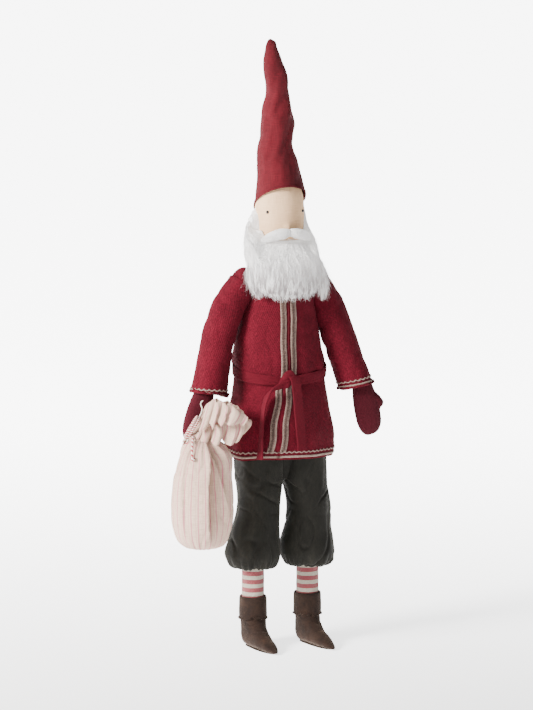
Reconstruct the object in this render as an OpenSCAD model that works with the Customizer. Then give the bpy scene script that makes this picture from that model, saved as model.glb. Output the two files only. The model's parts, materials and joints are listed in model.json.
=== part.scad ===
// Stuffed cloth tomte doll with a tall hat, a wool beard, a belted coat and a sack in its right hand.
// It faces -Y, its right hand is on the -X side and it stands on the floor at z = 0.

/* [Head and hat] */
// Radius of the head
head_r = 34.2; // [32:0.1:34.6]
// Height where the neck meets the head
neck_z = 546; // [544:1:548]
// Height of the crown of the head
crown_z = 679; // [670:1:684]
// Height of the hat's tip
hat_tip_z = 860; // [840:1:880]
// Height of the hat's edge at the ears
hat_edge_z = 631; // [629:1:636]
// Thickness of the hat's cloth
hat_wall = 1.5; // [1:0.1:1.6]

/* [Coat] */
// Height of the shoulder joints
shoulder_z = 518; // [517:1:519]
// Distance of each shoulder joint from the middle
shoulder_x = 57; // [57:0.5:60]
// Height of the coat's hem
hem_z = 274; // [268:1:278]
// Height of the belt at the sides
belt_z = 394; // [390:1:398]
// Height of the belt band
belt_h = 14; // [10:1:16]
// Thickness of the felted coat cloth
coat_wall = 2.2; // [1.5:0.1:2.4]

/* [Arms] */
// Length of a sleeve from the shoulder joint to the cuff
sleeve_len = 160; // [150:1:165]
// Radius of a sleeve at the shoulder
sleeve_top_r = 22.5; // [20:0.1:22.5]
// Radius of a sleeve at the cuff
sleeve_cuff_r = 26; // [24:0.5:27]
// Angle that the arms stand out from the body
arm_splay = 19.3; // [19:0.1:24]
// Angle that the arms lean forward
arm_lean = 5; // [2:0.5:6]

/* [Legs] */
// Distance of each leg's centre from the middle
leg_x = 41; // [40.5:0.5:43]
// Radius of a stocking
stocking_r = 15.75; // [14:0.25:16]
// Height of the hip joints
hip_z = 262; // [258:1:263]
// Height of the knee gathers of the breeches
knee_z = 117.5; // [112:0.5:122]
// Height of the top of the boots
boot_top_z = 73; // [66:1:80]
// Length of a boot's sole in front of the ankle
toe_len = 66; // [60:1:70]

/* [Sack] */
// Height of the sack's tied neck
sack_neck_z = 316; // [316:1:320]
// Height of the bottom of the sack
sack_bottom_z = 153; // [145:1:160]

/* [Hidden] */

$fn = 64;

// Doll's right and left, as signs of x
RIGHT = -1;
LEFT = 1;
// Sides of a lofted cloth form
sides = 32;
// Gap between two pieces that only touch
gap = 0.4;
// The doll's middle, measured from the centre of the whole object's footprint
middle_x = 15;
middle_y = 18.5;

// Colours
linen = "#f0dfcc";
wadding = "#f4efe4";
wool = "#f7f5f0";
hat_red = "#a03540";
coat_red = "#8c2a36";
belt_red = "#9b2634";
mitten_red = "#8a3a46";
tape_beige = "#a89888";
velvet = "#3c3c35";
suede = "#4b3328";
stocking_pink = "#d99aa0";
sack_cream = "#e6dcd2";

// ---- Cloth forms -------------------------------------------------------------------------------

// A section is [height, centre x, centre y, half width, half depth, slope of its plane along y]
function section(z, a, b, x = 0, y = 0, slope = 0) = [z, x, y, a, b, slope];
function ring(s, n) = [for (i = [0 : n - 1]) let (t = 360 * i / n, dy = s[4] * sin(t))
    [s[1] + s[3] * cos(t), s[2] + dy, s[0] + s[5] * dy]];
function grown(sections, t) = [for (s = sections) [s[0], s[1], s[2], s[3] + t, s[4] + t, s[5]]];
function raised(s, dz) = [s[0] + dz, s[1], s[2], s[3], s[4], s[5]];
// Sections whose two ends run past the ones given, so a cut through them is clean
function overrun(sections, dz) = concat([raised(sections[0], -dz)], sections,
    [raised(sections[len(sections) - 1], dz)]);

// Closed solid through a stack of elliptical sections, lowest first
module loft(sections, n = sides) {
    last = len(sections) - 1;
    polyhedron([for (s = sections) each ring(s, n)], concat(
        [[for (i = [0 : n - 1]) i]],
        [[for (i = [n - 1 : -1 : 0]) last * n + i]],
        [for (k = [0 : last - 1], i = [0 : n - 1]) let (j = (i + 1) % n)
            [k * n + i, (k + 1) * n + i, (k + 1) * n + j]],
        [for (k = [0 : last - 1], i = [0 : n - 1]) let (j = (i + 1) % n)
            [k * n + i, (k + 1) * n + j, k * n + j]]));
}

// Cloth tube of one thickness, open at both ends
module tube_of_cloth(sections, wall, n = sides) {
    difference() {
        loft(sections, n);
        loft(overrun(grown(sections, -wall), 1), n);
    }
}

// Everything is drawn about the doll's middle and placed by this
module doll() { translate([middle_x, middle_y, 0]) children(); }

// ---- Head --------------------------------------------------------------------------------------

// Outline of the head from the neck to the crown, as [radius, height]
function head_outline(inset) = [
    [0, neck_z + inset], [27 - inset, neck_z + inset], [30 - inset, neck_z + 7],
    [head_r - inset, neck_z + 18], [head_r - inset, 622],
    for (t = [0 : 9 : 90]) [(head_r - inset) * cos(t), 622 + (crown_z - 622 - inset) * sin(t)]];

module head_form(inset) { rotate_extrude() polygon(head_outline(inset)); }

module head_casing() doll() color(linen) difference() {
    head_form(0);
    head_form(1.2);
}
module head_filling() doll() color(wadding) head_form(1.4);

eye_z = 618;
eye_angle = 49;
// Each bead sits on the face, held by a thread
module eyes() doll() color("#2a211e")
    for (side = [RIGHT, LEFT])
        rotate([0, 0, side * eye_angle]) translate([0, -head_r - 1.65, eye_z]) sphere(r = 1.6, $fn = 24);

beard_bottom = 499;
beard_top = 616;
beard_sections = [
    section(beard_bottom, 20, 11, y = -50), section(505, 33, 17, y = -46),
    section(520, 42, 23, y = -41), section(540, 43, 27, y = -36),
    section(546, 50, 36, y = -26), section(560, 54, 41, y = -20),
    section(580, 53, 43, y = -16), section(600, 48, 40, y = -12),
    section(beard_top, 39, 31, y = -6)];
// Space that the face and moustache leave free in the wool
module face_window() translate([0, 0, 611]) rotate([90, 0, 0]) cylinder(r = 31, h = 90);

module beard() doll() color(wool) difference() {
    loft(beard_sections);
    translate([0, 0, 545]) cylinder(r = head_r + gap, h = 80);
    translate([0, 0, 530]) cylinder(r = 32.6, h = 20);
    loft(overrun(grown(coat_upper_sections, 2 * gap + tape_t), 0.1));
    face_window();
    moustache_form(gap);
    translate([-80, 11, 480]) cube([160, 60, 160]);
}

module beard_side(side) doll() color(wool)
    loft([section(500, 5, 5, x = side * 49, y = -37), section(510, 9, 8, x = side * 55, y = -38),
        section(528, 11, 9, x = side * 56, y = -37), section(543, 9, 8, x = side * 54.5, y = -35)], 16);
module beard_side_left() beard_side(LEFT);
module beard_side_right() beard_side(RIGHT);

// Each half of the moustache is a spindle that droops outwards
module moustache_form(extra) for (side = [RIGHT, LEFT])
    translate([side * 15.5, -43.5, 589]) rotate([0, 90 + side * 8, -side * 14])
        rotate_extrude($fn = 32)
            polygon([for (t = [0 : 15 : 180]) [(7.5 + extra) * sin(t), -(14 + extra) * cos(t)]]);
module moustache() doll() color(wool) moustache_form(0);

// ---- Hat ---------------------------------------------------------------------------------------

hat_sections = [
    section(hat_edge_z, 36.6, 36.6, slope = -0.62), section(648, 34.6, 34.6, x = -0.3, y = 1, slope = -0.45),
    section(668, 31.4, 31.4, x = -1.3, y = 0.3, slope = -0.3), section(689, 28.3, 28.3, x = -3, slope = -0.1),
    section(710, 24.6, 24.6, x = -5), section(740, 24.2, 24.2, x = -4), section(760, 21.7, 21.7, x = -5),
    section(780, 18, 18, x = -4), section(810, 15.8, 15.8, x = -6),
    section(828, 12.8, 12.8, x = -10), section(845, 8.4, 8.4, x = -13),
    section(hat_tip_z - 4, 6, 6, x = -13), section(hat_tip_z, 3, 3, x = -13.5)];
// The cloth closes over just below the tip
hat_inside = [for (i = [0 : len(hat_sections) - 3]) grown(hat_sections, -hat_wall)[i]];

module hat_shell() doll() color(hat_red) difference() {
    loft(hat_sections);
    loft(concat([raised(hat_inside[0], -2)], hat_inside));
}
module hat_filling() doll() color(wadding)
    loft([for (i = [3 : len(hat_inside) - 1]) grown(hat_inside, -gap)[i]]);

// ---- Torso -------------------------------------------------------------------------------------

torso_sections = [
    section(296, 50, 32), section(330, 53, 34), section(394, 52, 37), section(440, 46, 37),
    section(470, 41, 36), section(497, 33.6, 34), section(518, 30, 33), section(532, 28.5, 31),
    section(540, 26.8, 27.5), section(neck_z - 0.5, 26, 26)];
module torso_casing() doll() color(linen) difference() {
    loft(torso_sections);
    loft(torso_inside);
}
// The casing is closed at both ends
torso_inside = concat([raised(grown(torso_sections, -1)[0], 1)],
    [for (i = [1 : len(torso_sections) - 2]) grown(torso_sections, -1)[i]],
    [raised(grown(torso_sections, -1)[len(torso_sections) - 1], -1)]);
module torso_filling() doll() color(wadding) loft(
    [for (i = [0 : len(torso_inside) - 1])
        raised(grown(torso_inside, -0.2)[i], i == 0 ? 0.2 : i == len(torso_inside) - 1 ? -0.2 : 0)]);

hip_y = -4;
module hip_tabs() doll() color(linen)
    for (side = [RIGHT, LEFT])
        translate([side * (leg_x - 8) - 14, hip_y - 1.5, hip_z + stocking_r + gap])
            cube([28, 3, 296 - gap - hip_z - stocking_r]);

// ---- Coat --------------------------------------------------------------------------------------

waist_a = 65.6;
waist_b = 45;
hem_a = 77;
hem_b = 56;
// Level at which the coat's body hands over to its skirt, under the belt
waist_z = 391;
coat_upper_sections = [
    section(waist_z, waist_a, waist_b), section(440, 57, 44), section(470, 48, 42),
    section(497, 39.3, 40), section(518, 33.9, 38), section(532, 33.4, 37), section(538, 32.5, 34.5),
    section(541, 31, 32)];
skirt_sections = [section(hem_z, hem_a, hem_b), section(waist_z - 0.2, waist_a, waist_b)];
// Half width and half depth of the skirt at a height
function skirt_part(z) = (z - hem_z) / (waist_z - hem_z);
function skirt_section(z, t) = section(z, hem_a + (waist_a - hem_a) * skirt_part(z) + t,
    hem_b + (waist_b - hem_b) * skirt_part(z) + t);

module coat_body() doll() color(coat_red) difference() {
    tube_of_cloth(coat_upper_sections, coat_wall);
    translate([-40, 0, shoulder_z]) rotate([0, 90, 0]) cylinder(r = armhole_r, h = 80);
}
module coat_neckband() doll() color(coat_red) difference() {
    translate([0, 0, 541.2]) cylinder(r = 32, h = 5);
    translate([0, 0, 540]) cylinder(r = 29, h = 8);
}
module coat_skirt() doll() color(coat_red) tube_of_cloth(skirt_sections, coat_wall);

// A strip cut from a layer that lies on the coat between two thicknesses
tape_w = 8.4;
tape_t = 1.2;
module slanted_strip(top, bottom, w) rotate([90, 0, 0]) linear_extrude(90)
    polygon([[bottom[0] - w / 2, bottom[1]], [bottom[0] + w / 2, bottom[1]],
        [top[0] + w / 2, top[1]], [top[0] - w / 2, top[1]]]);
module front_tape(x_top, x_bottom) doll() color(tape_beige) intersection() {
    tube_of_cloth(grown(coat_upper_sections, gap + tape_t), tape_t);
    slanted_strip([x_top, 538], [x_bottom, waist_z + 4], tape_w);
}
module skirt_tape(x_top, x_bottom) doll() color(tape_beige) intersection() {
    tube_of_cloth(grown(skirt_sections, gap + tape_t), tape_t);
    slanted_strip([x_top, waist_z - 20], [x_bottom, hem_z + 18], tape_w);
}
module front_tape_right() front_tape(-8, -11);
module front_tape_left() front_tape(7, 4);
module skirt_tape_right() skirt_tape(-15, -33);
module skirt_tape_left() skirt_tape(-1, -16);

module hem_band(z0, z1) doll() color(tape_beige)
    tube_of_cloth([skirt_section(z0, gap + tape_t), skirt_section(z1, gap + tape_t)], tape_t);
module hem_scallop() hem_band(hem_z + 11, hem_z + 17);
module hem_braid() hem_band(hem_z + 5, hem_z + 8);

// The belt dips at the front
belt_slope = 0.2;
belt_t = 2;
belt_a = waist_a + 1.2;
belt_b = waist_b + 1.8;
module belt_band() doll() color(belt_red) tube_of_cloth([
    section(belt_z - belt_h / 2, belt_a + belt_t, belt_b + belt_t, slope = belt_slope),
    section(belt_z + belt_h / 2, belt_a + belt_t, belt_b + belt_t, slope = belt_slope)], belt_t);

knot_r = 8;
knot_x = -7;
knot_y = -belt_b - belt_t - knot_r - gap;
knot_z = belt_z + belt_slope * -belt_b + 1;
module belt_knot() doll() color(belt_red)
    translate([knot_x, knot_y, knot_z]) sphere(r = knot_r, $fn = 32);

// A flat tail from one point to another
module tail(from, to) doll() color(belt_red) hull() {
    translate(from) cube([belt_h, belt_t, 1], center = true);
    translate(to) cube([belt_h + 2, belt_t, 1], center = true);
}
module belt_tail_right() tail([knot_x - 8, knot_y + 2.5, knot_z - knot_r - 2], [-41, -55.5, 265]);
module belt_tail_left() tail([knot_x + 7.5, knot_y + 1, knot_z - knot_r - 2], [14, -60.5, 286]);

// ---- Arms --------------------------------------------------------------------------------------

arm_r = 13;
tab_r = 6;
armhole_r = 7;
sleeve_wall = 1.8;
// The arm is drawn hanging straight down from the shoulder joint
module arm(side) doll() translate([side * shoulder_x, 0, shoulder_z])
    rotate([-arm_lean, -side * arm_splay, 0]) children();

module shoulder_tab(side) doll() color(linen)
    translate([side * (31.6 + (shoulder_x - arm_r - gap)) / 2, 0, shoulder_z]) rotate([0, 90, 0])
        cylinder(r = tab_r, h = shoulder_x - arm_r - gap - 31.6, center = true);
module shoulder_tab_left() shoulder_tab(LEFT);
module shoulder_tab_right() shoulder_tab(RIGHT);

// Solid of revolution with a round top at the shoulder joint and a flat end below
module round_topped(r_top, r_end, length) rotate_extrude() polygon(concat(
    [[0, -length], [r_end, -length]],
    [for (t = [0 : 10 : 90]) [r_top * cos(t), r_top * sin(t)]]));

wrist = sleeve_len - 8;
module arm_casing(side) color(linen) arm(side) difference() {
    round_topped(arm_r, 12, wrist);
    round_topped(arm_r - 1, 11, wrist - 1);
}
module arm_filling(side) color(wadding) arm(side) round_topped(arm_r - 1.2, 10.8, wrist - 1.2);
module arm_casing_left() arm_casing(LEFT);
module arm_casing_right() arm_casing(RIGHT);
module arm_filling_left() arm_filling(LEFT);
module arm_filling_right() arm_filling(RIGHT);

// The sleeve is open at the cuff and has a slot over the tab, so the arm can lift sideways
module sleeve(side) color(coat_red) arm(side) difference() {
    round_topped(sleeve_top_r, sleeve_cuff_r, sleeve_len);
    round_topped(sleeve_top_r - sleeve_wall, sleeve_cuff_r - sleeve_wall, sleeve_len + 0.1);
    translate([side < 0 ? 0 : -30, -armhole_r - 1, 0]) cube([30, 2 * armhole_r + 2, 30]);
}
module sleeve_left() sleeve(LEFT);
module sleeve_right() sleeve(RIGHT);

// Radius of the sleeve at a distance from the shoulder joint
function sleeve_r(s) = sleeve_top_r + (sleeve_cuff_r - sleeve_top_r) * s / sleeve_len;
module cuff_ring(side, s0, s1) color(tape_beige) arm(side) rotate_extrude() polygon([
    [sleeve_r(s0) + gap / 2, -s0], [sleeve_r(s0) + gap / 2 + tape_t, -s0],
    [sleeve_r(s1) + gap / 2 + tape_t, -s1], [sleeve_r(s1) + gap / 2, -s1]]);
module cuff_scallop(side) cuff_ring(side, sleeve_len - 14, sleeve_len - 9);
module cuff_braid(side) cuff_ring(side, sleeve_len - 6, sleeve_len - 3);
module cuff_scallop_left() cuff_scallop(LEFT);
module cuff_scallop_right() cuff_scallop(RIGHT);
module cuff_braid_left() cuff_braid(LEFT);
module cuff_braid_right() cuff_braid(RIGHT);

// Both thumbs point to the doll's left: away from the body on the left hand, behind the sack on the right
mitten_len = 75;
mitten_sections = [for (s = [[1, 5, 3.5], [0.94, 12, 6.5], [0.81, 17.5, 9], [0.55, 19.5, 9.5],
    [0.25, 18.5, 9.5], [0.06, 15, 9.5], [-0.09, 12.5, 9.5]])
    section(-sleeve_len - mitten_len * s[0], s[1], s[2])];
module mitten(side) color(mitten_red) arm(side) union() {
    loft(mitten_sections, 24);
    hull() {
        translate([10, 0, -sleeve_len - 20]) sphere(r = 7, $fn = 20);
        translate([20.5, 0, -sleeve_len - 40]) sphere(r = 5.5, $fn = 20);
    }
}
module mitten_left() mitten(LEFT);
module mitten_right() mitten(RIGHT);

// ---- Sack --------------------------------------------------------------------------------------

neck_x = -137;
neck_y = -43;
bag_x = -131;
bag_y = -54;
bag_sections = [
    section(sack_bottom_z, 24, 18, bag_x, bag_y), section(sack_bottom_z + 4, 35, 29, bag_x, bag_y),
    section(sack_bottom_z + 15, 43, 37, bag_x, bag_y), section(190, 47, 40.5, bag_x, bag_y),
    section(215, 47, 40, bag_x, bag_y), section(240, 45.5, 38.5, bag_x, bag_y),
    section(262, 43, 35, bag_x + 1, bag_y), section(280, 40, 30, bag_x + 2, bag_y),
    section(293, 35, 23, bag_x + 1, bag_y), section(302, 26, 17, bag_x - 1, bag_y + 4),
    section(308, 17, 13, bag_x - 4, bag_y + 8), section(sack_neck_z - 3, 11, 10.3, neck_x, neck_y),
    section(sack_neck_z + 2, 10, 10, neck_x, neck_y)];
bag_inside = concat([raised(grown(bag_sections, -1.2)[0], 1.2)],
    [for (i = [1 : len(bag_sections) - 3]) grown(bag_sections, -1.2)[i]]);
module sack_bag() doll() color(sack_cream) difference() {
    loft(bag_sections, 28);
    loft(bag_inside, 28);
}
module sack_filling() doll() color(wadding) loft(
    [for (i = [0 : len(bag_inside) - 1])
        raised(grown(bag_inside, -0.3)[i], i == 0 ? 0.3 : i == len(bag_inside) - 1 ? -0.3 : 0)], 28);

// The gathered mouth fans out forwards and towards the coat
module sack_ruffle() doll() color(sack_cream)
    translate([neck_x, neck_y, sack_neck_z + 8]) rotate([24, 41, 0])
        loft([section(0, 3, 3), section(4, 8, 8), section(9, 16, 12), section(20, 28, 18),
            section(31, 39, 23), section(40, 45, 26), section(44, 41, 23)], 28);

// Two turns of cord round the neck
cord_d = 3;
module sack_tie() doll() color(hat_red) translate([neck_x, neck_y, sack_neck_z])
    for (dz = [-0.5, 0.5]) translate([0, 0, dz * (cord_d + 0.1)])
        rotate_extrude() translate([12, 0]) circle(d = cord_d, $fn = 24);

// Tail of the cord: it leaves the front of the tie and hangs over the bag
tail_route = [[-145, -53, 315], [-147.5, -57, 314], [-150, -62, 311], [-152, -66.5, 306.5],
    [-153.5, -70, 301], [-154.5, -73, 295.5], [-155, -75, 290]];
// Round tube along a route, with the ring at each point square to the route there
function unit(v) = v / norm(v);
function along(route, i) = unit(route[min(i + 1, len(route) - 1)] - route[max(i - 1, 0)]);
function tube_ring(route, i, r, n) = let (d = along(route, i), u = unit(cross(d, [0, 1, 0.3])),
    v = cross(d, u)) [for (k = [0 : n - 1]) route[i] + r * (cos(360 * k / n) * u + sin(360 * k / n) * v)];
module tube(route, d, n = 8) {
    last = len(route) - 1;
    polyhedron([for (i = [0 : last]) each tube_ring(route, i, d / 2, n)], concat(
        [[for (k = [0 : n - 1]) k]],
        [[for (k = [n - 1 : -1 : 0]) last * n + k]],
        [for (i = [0 : last - 1], k = [0 : n - 1]) let (m = (k + 1) % n)
            [i * n + k, (i + 1) * n + k, (i + 1) * n + m]],
        [for (i = [0 : last - 1], k = [0 : n - 1]) let (m = (k + 1) % n)
            [i * n + k, (i + 1) * n + m, i * n + m]]));
}
module cord_tail() doll() color(hat_red) tube(tail_route, cord_d);
module cord_knot() doll() color(hat_red)
    translate(tail_route[len(tail_route) - 1] + [0, -2, -2.6]) sphere(r = 3.2, $fn = 24);

// ---- Breeches and legs -------------------------------------------------------------------------

seat_wall = 1.8;
module breeches_seat() doll() color(velvet) tube_of_cloth([
    section(232.8, 65, 33.5, y = -2), section(262, 65.5, 36), section(300, 65, 38),
    section(340, 62, 39), section(346, 61, 39)], seat_wall);
module waist_elastic() doll() color(wadding) tube_of_cloth([
    section(337, 58.8, 36.6), section(344, 58.8, 36.6)], 1);

module leg(side) doll() translate([side * leg_x, hip_y, 0]) children();

// The stuffed leg: round at the hip joint and at the foot
module leg_form(r) rotate_extrude() polygon(concat(
    [for (t = [-90 : 15 : 0]) [r * cos(t), 24 + stocking_r + r * sin(t)]],
    [for (t = [0 : 15 : 90]) [r * cos(t), hip_z + r * sin(t)]]));
module stocking(side) color(stocking_pink) leg(side) difference() {
    leg_form(stocking_r);
    leg_form(stocking_r - 1);
}
module leg_filling(side) color(wadding) leg(side) leg_form(stocking_r - 1.2);
module stocking_left() stocking(LEFT);
module stocking_right() stocking(RIGHT);
module leg_filling_left() leg_filling(LEFT);
module leg_filling_right() leg_filling(RIGHT);

// Each leg of the breeches is full, bulges over the knee and is gathered in under it
function breeches_sections(side) = [
    section(knee_z, 19, 19, side * leg_x, hip_y), section(knee_z + 3, 27, 27, side * leg_x, hip_y),
    section(knee_z + 10, 35, 34.5, side * leg_x, hip_y), section(140, 38.3, 37.5, side * 40.6, hip_y),
    section(156, 37, 36.5, side * 39.5, hip_y), section(180, 34.5, 34, side * 37, hip_y),
    section(206, 32.5, 32.5, side * 34.5, hip_y), section(232, 31.5, 31.5, side * 33, hip_y)];
module breeches_leg(side) doll() color(velvet) tube_of_cloth(breeches_sections(side), seat_wall);
module breeches_leg_left() breeches_leg(LEFT);
module breeches_leg_right() breeches_leg(RIGHT);

// ---- Boots -------------------------------------------------------------------------------------

sole_t = 3;
boot_wall = 1.6;
function boot_turn(side) = side > 0 ? 7 : 3;
module foot(side) leg(side) rotate([0, 0, boot_turn(side)]) children();

// Outside of a boot, drawn pointing to -Y; inset makes the same shape smaller
module boot_form(inset) hull() {
    translate([0, 6, 12]) sphere(r = 15.5 - inset, $fn = 28);
    translate([0, -34, 10]) sphere(r = 14 - inset, $fn = 28);
    translate([0, 8 - toe_len, 6]) sphere(r = 8 - inset, $fn = 28);
    translate([0, 0, 40]) cylinder(r = 18.6 - inset, h = 2, $fn = 28);
}
module boot(side) color(suede) foot(side) difference() {
    union() {
        boot_form(0);
        translate([0, 0, 41]) cylinder(r = 18.6, h = boot_top_z - 41 - 2);
    }
    boot_form(boot_wall);
    translate([0, 0, 40]) cylinder(r = 18.6 - boot_wall, h = 60);
    translate([-50, -120, -30]) cube([100, 200, 30 + sole_t + 0.2]);
}
// The sole follows the foot of the boot
module boot_sole(side) color(suede) foot(side) linear_extrude(sole_t) hull() {
    translate([0, 6]) circle(r = 13.5);
    translate([0, -34]) circle(r = 12.5);
    translate([0, 4 - toe_len]) circle(r = 4);
}
module boot_cuff(side) color(suede) foot(side) difference() {
    translate([0, 0, 42]) cylinder(r = 21, h = boot_top_z - 42);
    translate([0, 0, 40]) cylinder(r = 19, h = boot_top_z - 41.6);
    cylinder(r = stocking_r + gap, h = 100);
}
module boot_left() boot(LEFT);
module boot_right() boot(RIGHT);
module boot_sole_left() boot_sole(LEFT);
module boot_sole_right() boot_sole(RIGHT);
module boot_cuff_left() boot_cuff(LEFT);
module boot_cuff_right() boot_cuff(RIGHT);

head_casing();
head_filling();
eyes();
torso_casing();
torso_filling();
beard();
beard_side_left();
beard_side_right();
moustache();
coat_body();
coat_neckband();
coat_skirt();
front_tape_left();
front_tape_right();
skirt_tape_left();
skirt_tape_right();
hem_scallop();
hem_braid();
belt_band();
belt_knot();
belt_tail_left();
belt_tail_right();
breeches_seat();
waist_elastic();
hip_tabs();
shoulder_tab_left();
shoulder_tab_right();
arm_casing_left();
arm_casing_right();
arm_filling_left();
arm_filling_right();
sleeve_left();
sleeve_right();
cuff_scallop_left();
cuff_scallop_right();
cuff_braid_left();
cuff_braid_right();
mitten_left();
mitten_right();
sack_bag();
sack_filling();
sack_ruffle();
sack_tie();
cord_tail();
cord_knot();
stocking_left();
stocking_right();
leg_filling_left();
leg_filling_right();
breeches_leg_left();
breeches_leg_right();
boot_left();
boot_right();
boot_sole_left();
boot_sole_right();
boot_cuff_left();
boot_cuff_right();
hat_shell();
hat_filling();
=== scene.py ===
"""Cloth tomte doll with a sack: the looks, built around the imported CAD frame.

Shapes are worked out in the doll's own frame, in millimetres: x to the doll's left hand, y to its
back, z up, with x = y = 0 at the middle of its head. row() turns them into the frame's metres."""
import json
import math

import bpy
import numpy as np
from mathutils import Matrix, Vector, noise


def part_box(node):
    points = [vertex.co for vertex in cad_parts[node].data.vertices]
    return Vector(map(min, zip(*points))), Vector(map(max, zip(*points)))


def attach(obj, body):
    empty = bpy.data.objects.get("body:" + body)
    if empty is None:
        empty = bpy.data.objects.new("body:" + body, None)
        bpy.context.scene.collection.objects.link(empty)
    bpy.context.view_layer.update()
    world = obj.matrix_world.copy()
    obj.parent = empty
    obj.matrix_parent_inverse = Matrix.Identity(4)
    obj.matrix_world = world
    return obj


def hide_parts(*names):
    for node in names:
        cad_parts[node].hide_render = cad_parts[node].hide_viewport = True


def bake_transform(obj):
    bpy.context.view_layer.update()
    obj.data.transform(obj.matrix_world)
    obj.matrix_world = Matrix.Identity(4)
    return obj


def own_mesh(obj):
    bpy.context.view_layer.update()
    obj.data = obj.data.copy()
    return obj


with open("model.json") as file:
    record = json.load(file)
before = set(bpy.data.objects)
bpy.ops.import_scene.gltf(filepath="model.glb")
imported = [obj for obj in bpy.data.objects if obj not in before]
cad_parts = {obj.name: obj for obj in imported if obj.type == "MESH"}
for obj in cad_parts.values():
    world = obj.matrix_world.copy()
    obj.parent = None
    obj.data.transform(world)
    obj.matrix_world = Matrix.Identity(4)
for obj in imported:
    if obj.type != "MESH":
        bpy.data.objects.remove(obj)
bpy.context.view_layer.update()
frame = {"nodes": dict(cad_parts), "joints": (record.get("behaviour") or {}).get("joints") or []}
MM = 0.001
SIDES = {"left": 1, "right": -1}
UP = np.array([0.0, 0.0, 1.0])


# ---- Places from the frame ----------------------------------------------------------------------

head_low, head_high = (np.array(corner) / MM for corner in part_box("head_casing"))
MIDDLE = (head_low + head_high) / 2 * (1, 1, 0)
JOINTS = {j["name"]: np.array(j.get("pos_m", (0, 0, 0)), float) / MM - MIDDLE
          for j in frame["joints"]}


def row(points):
    """Doll-frame millimetres to row-frame metres."""
    return (np.asarray(points, float) + MIDDLE) * MM


def ends(node):
    """Heights of a CAD piece's lower and upper ends."""
    low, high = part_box(node)
    return low[2] / MM, high[2] / MM


HEAD_R = (head_high - head_low)[0] / 2
NECK_Z, CROWN_Z = ends("head_casing")
HAT_TIP_Z = ends("hat_shell")[1]
HEM_Z, WAIST_Z = ends("coat_skirt")
BELT_LOW, BELT_HIGH = ends("belt_band")
BELT_Z = (BELT_LOW + BELT_HIGH) / 2
SHOULDER = {side: JOINTS["shoulder_swing_" + side] for side in SIDES}
HIP = {side: JOINTS["hip_swing_" + side] for side in SIDES}
KNEE_Z = ends("breeches_leg_left")[0]
CUFF_LOW, BOOT_TOP = ends("boot_cuff_left")
SACK_NECK = JOINTS["sack_swing"]
SACK_BOTTOM = ends("sack_bag")[0]


# ---- Camera and light ---------------------------------------------------------------------------

AZIMUTH, ELEVATION = math.radians(-20), math.radians(8.5)
CAMERA_DISTANCE = 5.0
FRAME_HEIGHT = 0.994          # height seen at the doll's distance
SENSOR = 36.0
AIM = Vector(row((-21, -5, 415)))
RIGHTWARDS = (math.cos(AZIMUTH), math.sin(AZIMUTH), 0)
BACKWARDS = (-math.sin(AZIMUTH), math.cos(AZIMUTH), 0)
FLOOR_HALF = 30.0


def linked(name, data):
    """A new object in the scene."""
    obj = bpy.data.objects.new(name, data)
    bpy.context.scene.collection.objects.link(obj)
    return obj


def aimed(obj, away):
    """Puts an object that far away from the doll, and turns it to face it."""
    obj.location = AIM + away
    obj.rotation_euler = (-away).to_track_quat("-Z", "Y").to_euler()
    return obj


def make_camera():
    data = bpy.data.cameras.new("camera")
    data.sensor_width = SENSOR
    data.lens = SENSOR * CAMERA_DISTANCE / FRAME_HEIGHT
    away = Vector((math.sin(AZIMUTH) * math.cos(ELEVATION),
                   -math.cos(AZIMUTH) * math.cos(ELEVATION), math.sin(ELEVATION)))
    bpy.context.scene.camera = aimed(linked("camera", data), away * CAMERA_DISTANCE)


def area_light(name, away, size, watts, colour=(1, 1, 1)):
    data = bpy.data.lights.new(name, "AREA")
    data.shape = "DISK"
    data.size, data.energy, data.color = size, watts, colour
    aimed(linked(name, data), Vector(away))


def smooth(mesh):
    mesh.polygons.foreach_set("use_smooth", [True] * len(mesh.polygons))


def mesh_object(name, vertices, faces, material):
    mesh = bpy.data.meshes.new(name)
    mesh.from_pydata(vertices, [], faces)
    smooth(mesh)
    mesh.materials.append(material)
    return linked(name, mesh)


def glowing_floor():
    """A pale floor that glows as painted light: faint in front of the doll and brightest behind it, so it
    runs to white there.
    """
    s = Shade(bpy.data.materials.new("pale_floor"))
    depth = s.toward("Object", BACKWARDS)
    glow = s.add("MapRange", {"Value": depth, "From Min": -1.1, "From Max": 2.2, "To Min": 0.4,
                              "To Max": 7.5}, interpolation_type="SMOOTHSTEP")
    for key, value in (("Base Color", (0.95, 0.95, 0.95, 1)), ("Roughness", 0.9),
                       ("Emission Color", (1, 1, 1, 1)), ("Emission Strength", glow)):
        s.join(s.shader, key, value)
    return s.owner


def make_studio():
    area_light("key", (-3.0, -0.8, 1.25), 1.1, 400, (1.0, 0.985, 0.965))
    area_light("top", (-0.9, -0.9, 2.4), 1.6, 26)
    world = bpy.data.worlds.new("studio")
    bpy.context.scene.world = world
    s = Shade(world)
    # White all round, and dim only from the far right, so the side away from the key falls off
    fall = s.ramp(s.toward("Generated", RIGHTWARDS), [(0.0, (1, 1, 1)), (0.5, (0.12, 0.12, 0.12))])
    background = s.tree.nodes["Background"]
    s.join(background, "Strength", 0.45)
    s.join(background, "Color", fall)
    corners = [(x * FLOOR_HALF, y * FLOOR_HALF, 0) for x, y in ((-1, -1), (1, -1), (1, 1), (-1, 1))]
    mesh_object("floor", corners, [(0, 1, 2, 3)], glowing_floor())


make_camera()


# ---- Materials ----------------------------------------------------------------------------------

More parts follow.
